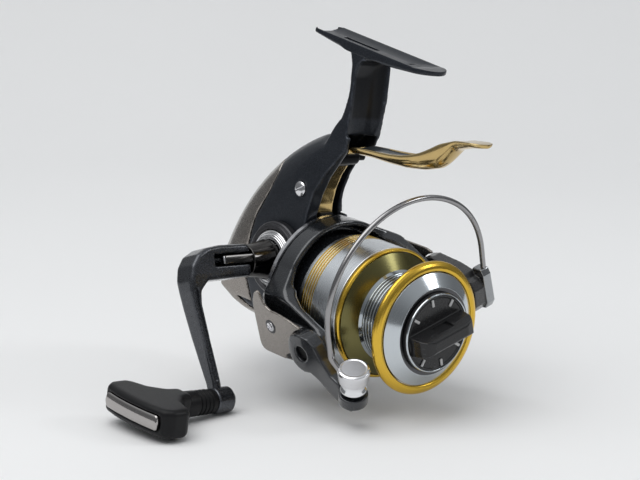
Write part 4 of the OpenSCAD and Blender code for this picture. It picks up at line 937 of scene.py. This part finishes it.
# ---- Drag knob ----
# Moulded black with a thick finger bar across its face, a bright plated rim, and short
# pale tick marks round the edge for the settings.
knob_black = Finish("knob_black", Specular_IOR_Level=0.35, Coat_Weight=0.1, Coat_Roughness=0.15)
grain = knob_black.noise(2.2, 4)
touched = knob_black.edges(0.51, 0.57)
black, rubbed_grey = (0.012, 0.012, 0.013, 1), (0.05, 0.05, 0.052, 1)
knob_black = knob_black.feed(
    Base_Color=knob_black.mix(touched * 0.4 + grain * 0.15, black, rubbed_grey),
    Roughness=0.23 + (grain - 0.5) * 0.14 - touched * 0.04,
    Normal=knob_black.bump(grain, 0.012, 0.6))
knob = cast("knob_face", "drag_knob", "knob", 0.18, 9, knob_black)
BAR_TURN = 20
bar_way = Vector((math.cos(math.radians(BAR_TURN)), 0, math.sin(math.radians(BAR_TURN))))
bar_side = Vector((-bar_way.z, 0, bar_way.x))
carve(knob, block(placed(0, -9.9, 0) + bar_side * 0.0044, bar_way, bar_side, (7.5, 3.0, 4.4)))
rim_shape = [(13.3, -4.9), (15.0, -4.9), (15.0, -6.0), (14.8, -6.2), (14.65, -6.6), (14.4, -6.7),
             (14.15, -6.6), (14.05, -6.25), (13.3, -6.22)]
rim = turned("knob_bright_rim", "knob", rim_shape, cone_chrome, radius=0.12, steps=200,
             replaces=("knob_rim",))
rim.data.materials.append(knob_black)
# Only the rim's front bead is plated bright; its sides and back get the knob's black as painted
# shadow of the gap round the drag well.
for face in rim.data.polygons:
    out, y = round_place(face)
    face.material_index = int(not (14.08 < out < 14.75 and y < -6.2))
print_ink = Finish("tick_ink", Coat_Weight=0.2)
speck = print_ink.noise(6.0, 3)
print_ink = print_ink.feed(
    Base_Color=print_ink.mix(speck, (0.42, 0.42, 0.42, 1), (0.60, 0.60, 0.60, 1)),
    Roughness=0.45 + (speck - 0.5) * 0.2)
for turn in (45, 90, 135, 225, 270, 315):
    angle = math.radians(BAR_TURN + turn)
    way = Vector((math.cos(angle), 0, math.sin(angle)))
    plate("tick_%d" % turn, "knob", [(10.6, -0.5), (13.3, -0.5), (13.3, 0.5), (10.6, 0.5)],
          print_ink, placed(0, -6.3, 0), way, way.cross(Vector((0, 1, 0))), 0, 0.45, 0.1, 2, 0.2,
          ("knob_ticks",))

# ---- Brake lever ----
# Cast, polished and anodised gold, with the finger's trough sprayed grey.  It runs through
# the leg's channel and turns there on a black steel pin, above the rotor that it brakes.
lever_gold = Finish("lever_gold", Metallic=1.0, Coat_Weight=0.3, Coat_Roughness=0.06)
brushed = lever_gold.noise(1.2, 4, lever_gold.stretched(1.0, 0.25, 0.25))
worn = lever_gold.edges(0.515, 0.57)
hue = lever_gold.mix(brushed * 0.5 + lever_gold.noise(0.05, 3) * 0.25, (0.62, 0.45, 0.19, 1),
                     (0.44, 0.31, 0.12, 1))
lever_gold = lever_gold.feed(Base_Color=lever_gold.mix(worn * 0.6, hue, (0.82, 0.68, 0.40, 1)),
                             Roughness=0.15 + (brushed - 0.5) * 0.10 + worn * 0.05,
                             Normal=lever_gold.bump(brushed, 0.003, 0.6))
back = carve(solid_of("brake_lever", "lever_back"),
             block(placed(0, 12, 65), (1, 0, 0), (0, 1, 0), (20, 68, 40)))
lever_back = cast("lever_back", "brake_lever", "lever", 0.22, 14, lever_gold, None, back)
TOP_Y = [-26, -19.8, -14.5, -6.5, 0.5, 5, 9, 13, 18, 24, 30, 36, 44, 50, 56]
TOP_Z = [72, 72, 71.8, 70.8, 68.1, 65.2, 63, 61.4, 60, 59.1, 58.5, 58.1, 57.4, 55.6, 53.0]
UNDER_Y = [-26, -19.4, -13.5, -5.6, -1.1, 2.2, 9.3, 17.7, 26.4, 35.4, 49.5, 56]
UNDER_Z = [70.6, 70.4, 69.6, 67.2, 61.7, 58.8, 56.5, 55.2, 54.8, 54.8, 53.9, 53.4]
HALF_Y = [-26, -15, -11, -6, -2, 5, 14, 30, 44, 56]
HALF_X = [5.0, 5.0, 4.9, 4.5, 4.6, 5.5, 6.1, 6, 5.6, 5.6]
TIP_FROM, TIP_LONG = -14.0, 5.0


def finger_section(y):
    """The finger is a thin shell, rounded below, with a trough that fades out before its tip."""
    tip = math.sqrt(max(0, 1 - (max(0, TIP_FROM - y) / TIP_LONG) ** 2))
    half = flowing(y, HALF_Y, HALF_X) * tip
    top, under = flowing(y, TOP_Y, TOP_Z), flowing(y, UNDER_Y, UNDER_Z)
    deep = (top - under) * (0.7 + 0.3 * tip)
    trough = flowing(y, [-8, 0, 8, 30, 43, 48], [0, 0.9, 1.7, 1.7, 1.1, 0])
    below = [(half * math.copysign(abs(math.cos(a)) ** 0.85, math.cos(a)),
              top - deep * math.sin(a) ** 0.9) for a in np.linspace(math.pi, 0, 33)]
    rim = min(0.9, 0.3 * half)
    across = np.linspace(half - rim, rim - half, 21)
    hollow = top + 0.12 - trough * (1 - (across / max(1e-6, half - rim)) ** 2) ** 0.7
    edge = half - 0.3 * rim
    above = [(edge, top + 0.1)] + list(zip(across, hollow)) + [(-edge, top + 0.1)]
    return [placed(x, y, z) for x, z in below + above]


tip_stations = TIP_FROM - TIP_LONG * np.cos(np.radians(np.linspace(4, 88, 18)))
stations = np.concatenate([tip_stations, np.arange(-13.7, 51, 0.6)])
finger = lofted("lever_finger", "lever", [finger_section(y) for y in stations], lever_gold,
                "brake_lever")
trough_grey = metallic_paint("lever_trough_grey", (0.085, 0.095, 0.105, 1), (0.17, 0.185, 0.20, 1),
                             0.34, 0.6, 0.3)
finger.data.materials.append(trough_grey)
for face in finger.data.polygons:
    in_trough = abs(face.center.x) < 0.0047 and 9 < face.center.y * MM + LIP_Y < 46.5
    face.material_index = int(in_trough and face.normal.z > 0.35)
lever_back.data.materials.append(black_steel_and_hole_shade)
PIVOT_Y, PIVOT_Z, PIN_HEAD = 54.4, 51, 3.4
for face in lever_back.data.polygons:
    _, y, z = from_lip(np.array(face.center))
    face.material_index = int(math.hypot(y - PIVOT_Y, z - PIVOT_Z) < PIN_HEAD)

# ---- Studio ----
# A pale paper sweep under and behind the reel, a broad lamp high on the left, a small one
# on the right, and a world that is brighter above, so that plated parts show light and dark.
RIGHT = Vector((0.75493897, -0.64461752, 0.12056287))
OVER = Vector((0.05600039, 0.2465386, 0.96751366))
NEAR = Vector((-0.65339965, -0.7236622, 0.22222043))
SHIFT = Vector((37.93109752, -31.84991735, -867.44198991))
TIP = math.radians(13)
UP = (OVER * math.cos(TIP) + NEAR * math.sin(TIP)).normalized()
TOWARD = (NEAR - UP * NEAR.dot(UP)).normalized()
ACROSS = UP.cross(TOWARD).normalized()

eye = -(RIGHT * SHIFT.x + OVER * SHIFT.y + NEAR * SHIFT.z) - Vector((0, LIP_Y, SHAFT_Z))
camera = bpy.data.objects.new("camera", bpy.data.cameras.new("camera"))
camera.data.lens, camera.data.sensor_width = 135.0, 36.0
camera.data.clip_start, camera.data.clip_end = 0.05, 10
camera.matrix_world = (Matrix.Translation(eye / MM)
                       @ Matrix((RIGHT, OVER, NEAR)).transposed().to_4x4())
bpy.context.scene.collection.objects.link(camera)
scene = bpy.context.scene
scene.camera = camera
scene.render.resolution_x, scene.render.resolution_y = 640, 480
scene.view_settings.view_transform = "Standard"

lowest = min((piece.matrix_world @ vertex.co).dot(UP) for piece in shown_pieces()
             if piece.type == "MESH" for vertex in piece.data.vertices)
centre = Vector((0, 0, -0.06))
ground = centre + UP * (lowest - centre.dot(UP))
sweep = bmesh.new()
line = [(0.6, 0.0), (0.2, 0.0), (-0.45, 0.0)]
line += [(-0.45 - 0.4 * math.sin(a), 0.4 * (1 - math.cos(a)))
         for a in np.radians(np.arange(5, 91, 5))]
line += [(-0.85, 1.0), (-0.85, 1.3)]
rows = [[sweep.verts.new(ground + TOWARD * out + UP * rise + ACROSS * side)
         for side in (-0.42, 0.36)] for out, rise in line]
for one, two in zip(rows, rows[1:]):
    sweep.faces.new([one[0], one[1], two[1], two[0]])
sweep.normal_update()
away = [face for face in sweep.faces if face.normal.dot(UP + TOWARD) < 0]
bmesh.ops.reverse_faces(sweep, faces=away)
paper = as_piece("paper_sweep", sweep)
smooth(paper)
pale = Finish("paper")
mottle = pale.noise(0.004, 2)
paper.data.materials.append(pale.feed(
    Base_Color=pale.mix(mottle, (0.86, 0.862, 0.865, 1), (0.885, 0.887, 0.89, 1)),
    Roughness=0.9 + (mottle - 0.5) * 0.05))
lit_side = Amount(pale, pale.shader.outputs[0])
unseen = pale.node("ShaderNodeBsdfTransparent")
from_behind = pale.node("ShaderNodeNewGeometry", out="Backfacing")
one_sided = pale.node("ShaderNodeMixShader", None, {0: from_behind, 1: lit_side, 2: unseen})
pale.tree.links.new(one_sided.socket, pale.tree.nodes["Material Output"].inputs["Surface"])
paper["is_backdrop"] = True


def lamp(name, place, size, watts, colour=(1, 1, 1)):
    light = bpy.data.objects.new(name, bpy.data.lights.new(name, "AREA"))
    light.data.shape, light.data.size = "DISK", size
    light.data.energy, light.data.color = watts, colour
    at = centre + ACROSS * place[0] + UP * place[1] + TOWARD * place[2]
    aim = (centre - at).to_track_quat("-Z", "Y").to_matrix().to_4x4()
    light.matrix_world = Matrix.Translation(at) @ aim
    bpy.context.scene.collection.objects.link(light)


lamp("key", (-0.35, 0.95, 0.25), 1.2, 7.0, (1.0, 0.995, 0.985))
lamp("fill", (0.86, 0.5, 0.1), 0.26, 1.3, (0.97, 0.985, 1.0))

world = bpy.data.worlds.new("studio")
scene.world = world
world.use_nodes = True
tree = world.node_tree
tree.nodes.clear()
output = tree.nodes.new("ShaderNodeOutputWorld")
mixer = tree.nodes.new("ShaderNodeMixShader")
bright, dim = tree.nodes.new("ShaderNodeBackground"), tree.nodes.new("ShaderNodeBackground")
for sky, strength in ((bright, 0.62), (dim, 0.2)):
    sky.inputs["Color"].default_value = (0.95, 0.975, 1.0, 1)
    sky.inputs["Strength"].default_value = strength
facing = tree.nodes.new("ShaderNodeVectorMath")
facing.operation = "DOT_PRODUCT"
facing.inputs[1].default_value = UP
ways = tree.nodes.new("ShaderNodeTexCoord")
step = tree.nodes.new("ShaderNodeMapRange")
step.interpolation_type = "SMOOTHSTEP"
step.inputs[1].default_value, step.inputs[2].default_value = 0.15, 0.9
for start, end in ((ways.outputs["Generated"], facing.inputs[0]),
                   (facing.outputs["Value"], step.inputs[0]), (step.outputs[0], mixer.inputs[0]),
                   (dim.outputs[0], mixer.inputs[1]), (bright.outputs[0], mixer.inputs[2]),
                   (mixer.outputs[0], output.inputs[0])):
    tree.links.new(start, end)
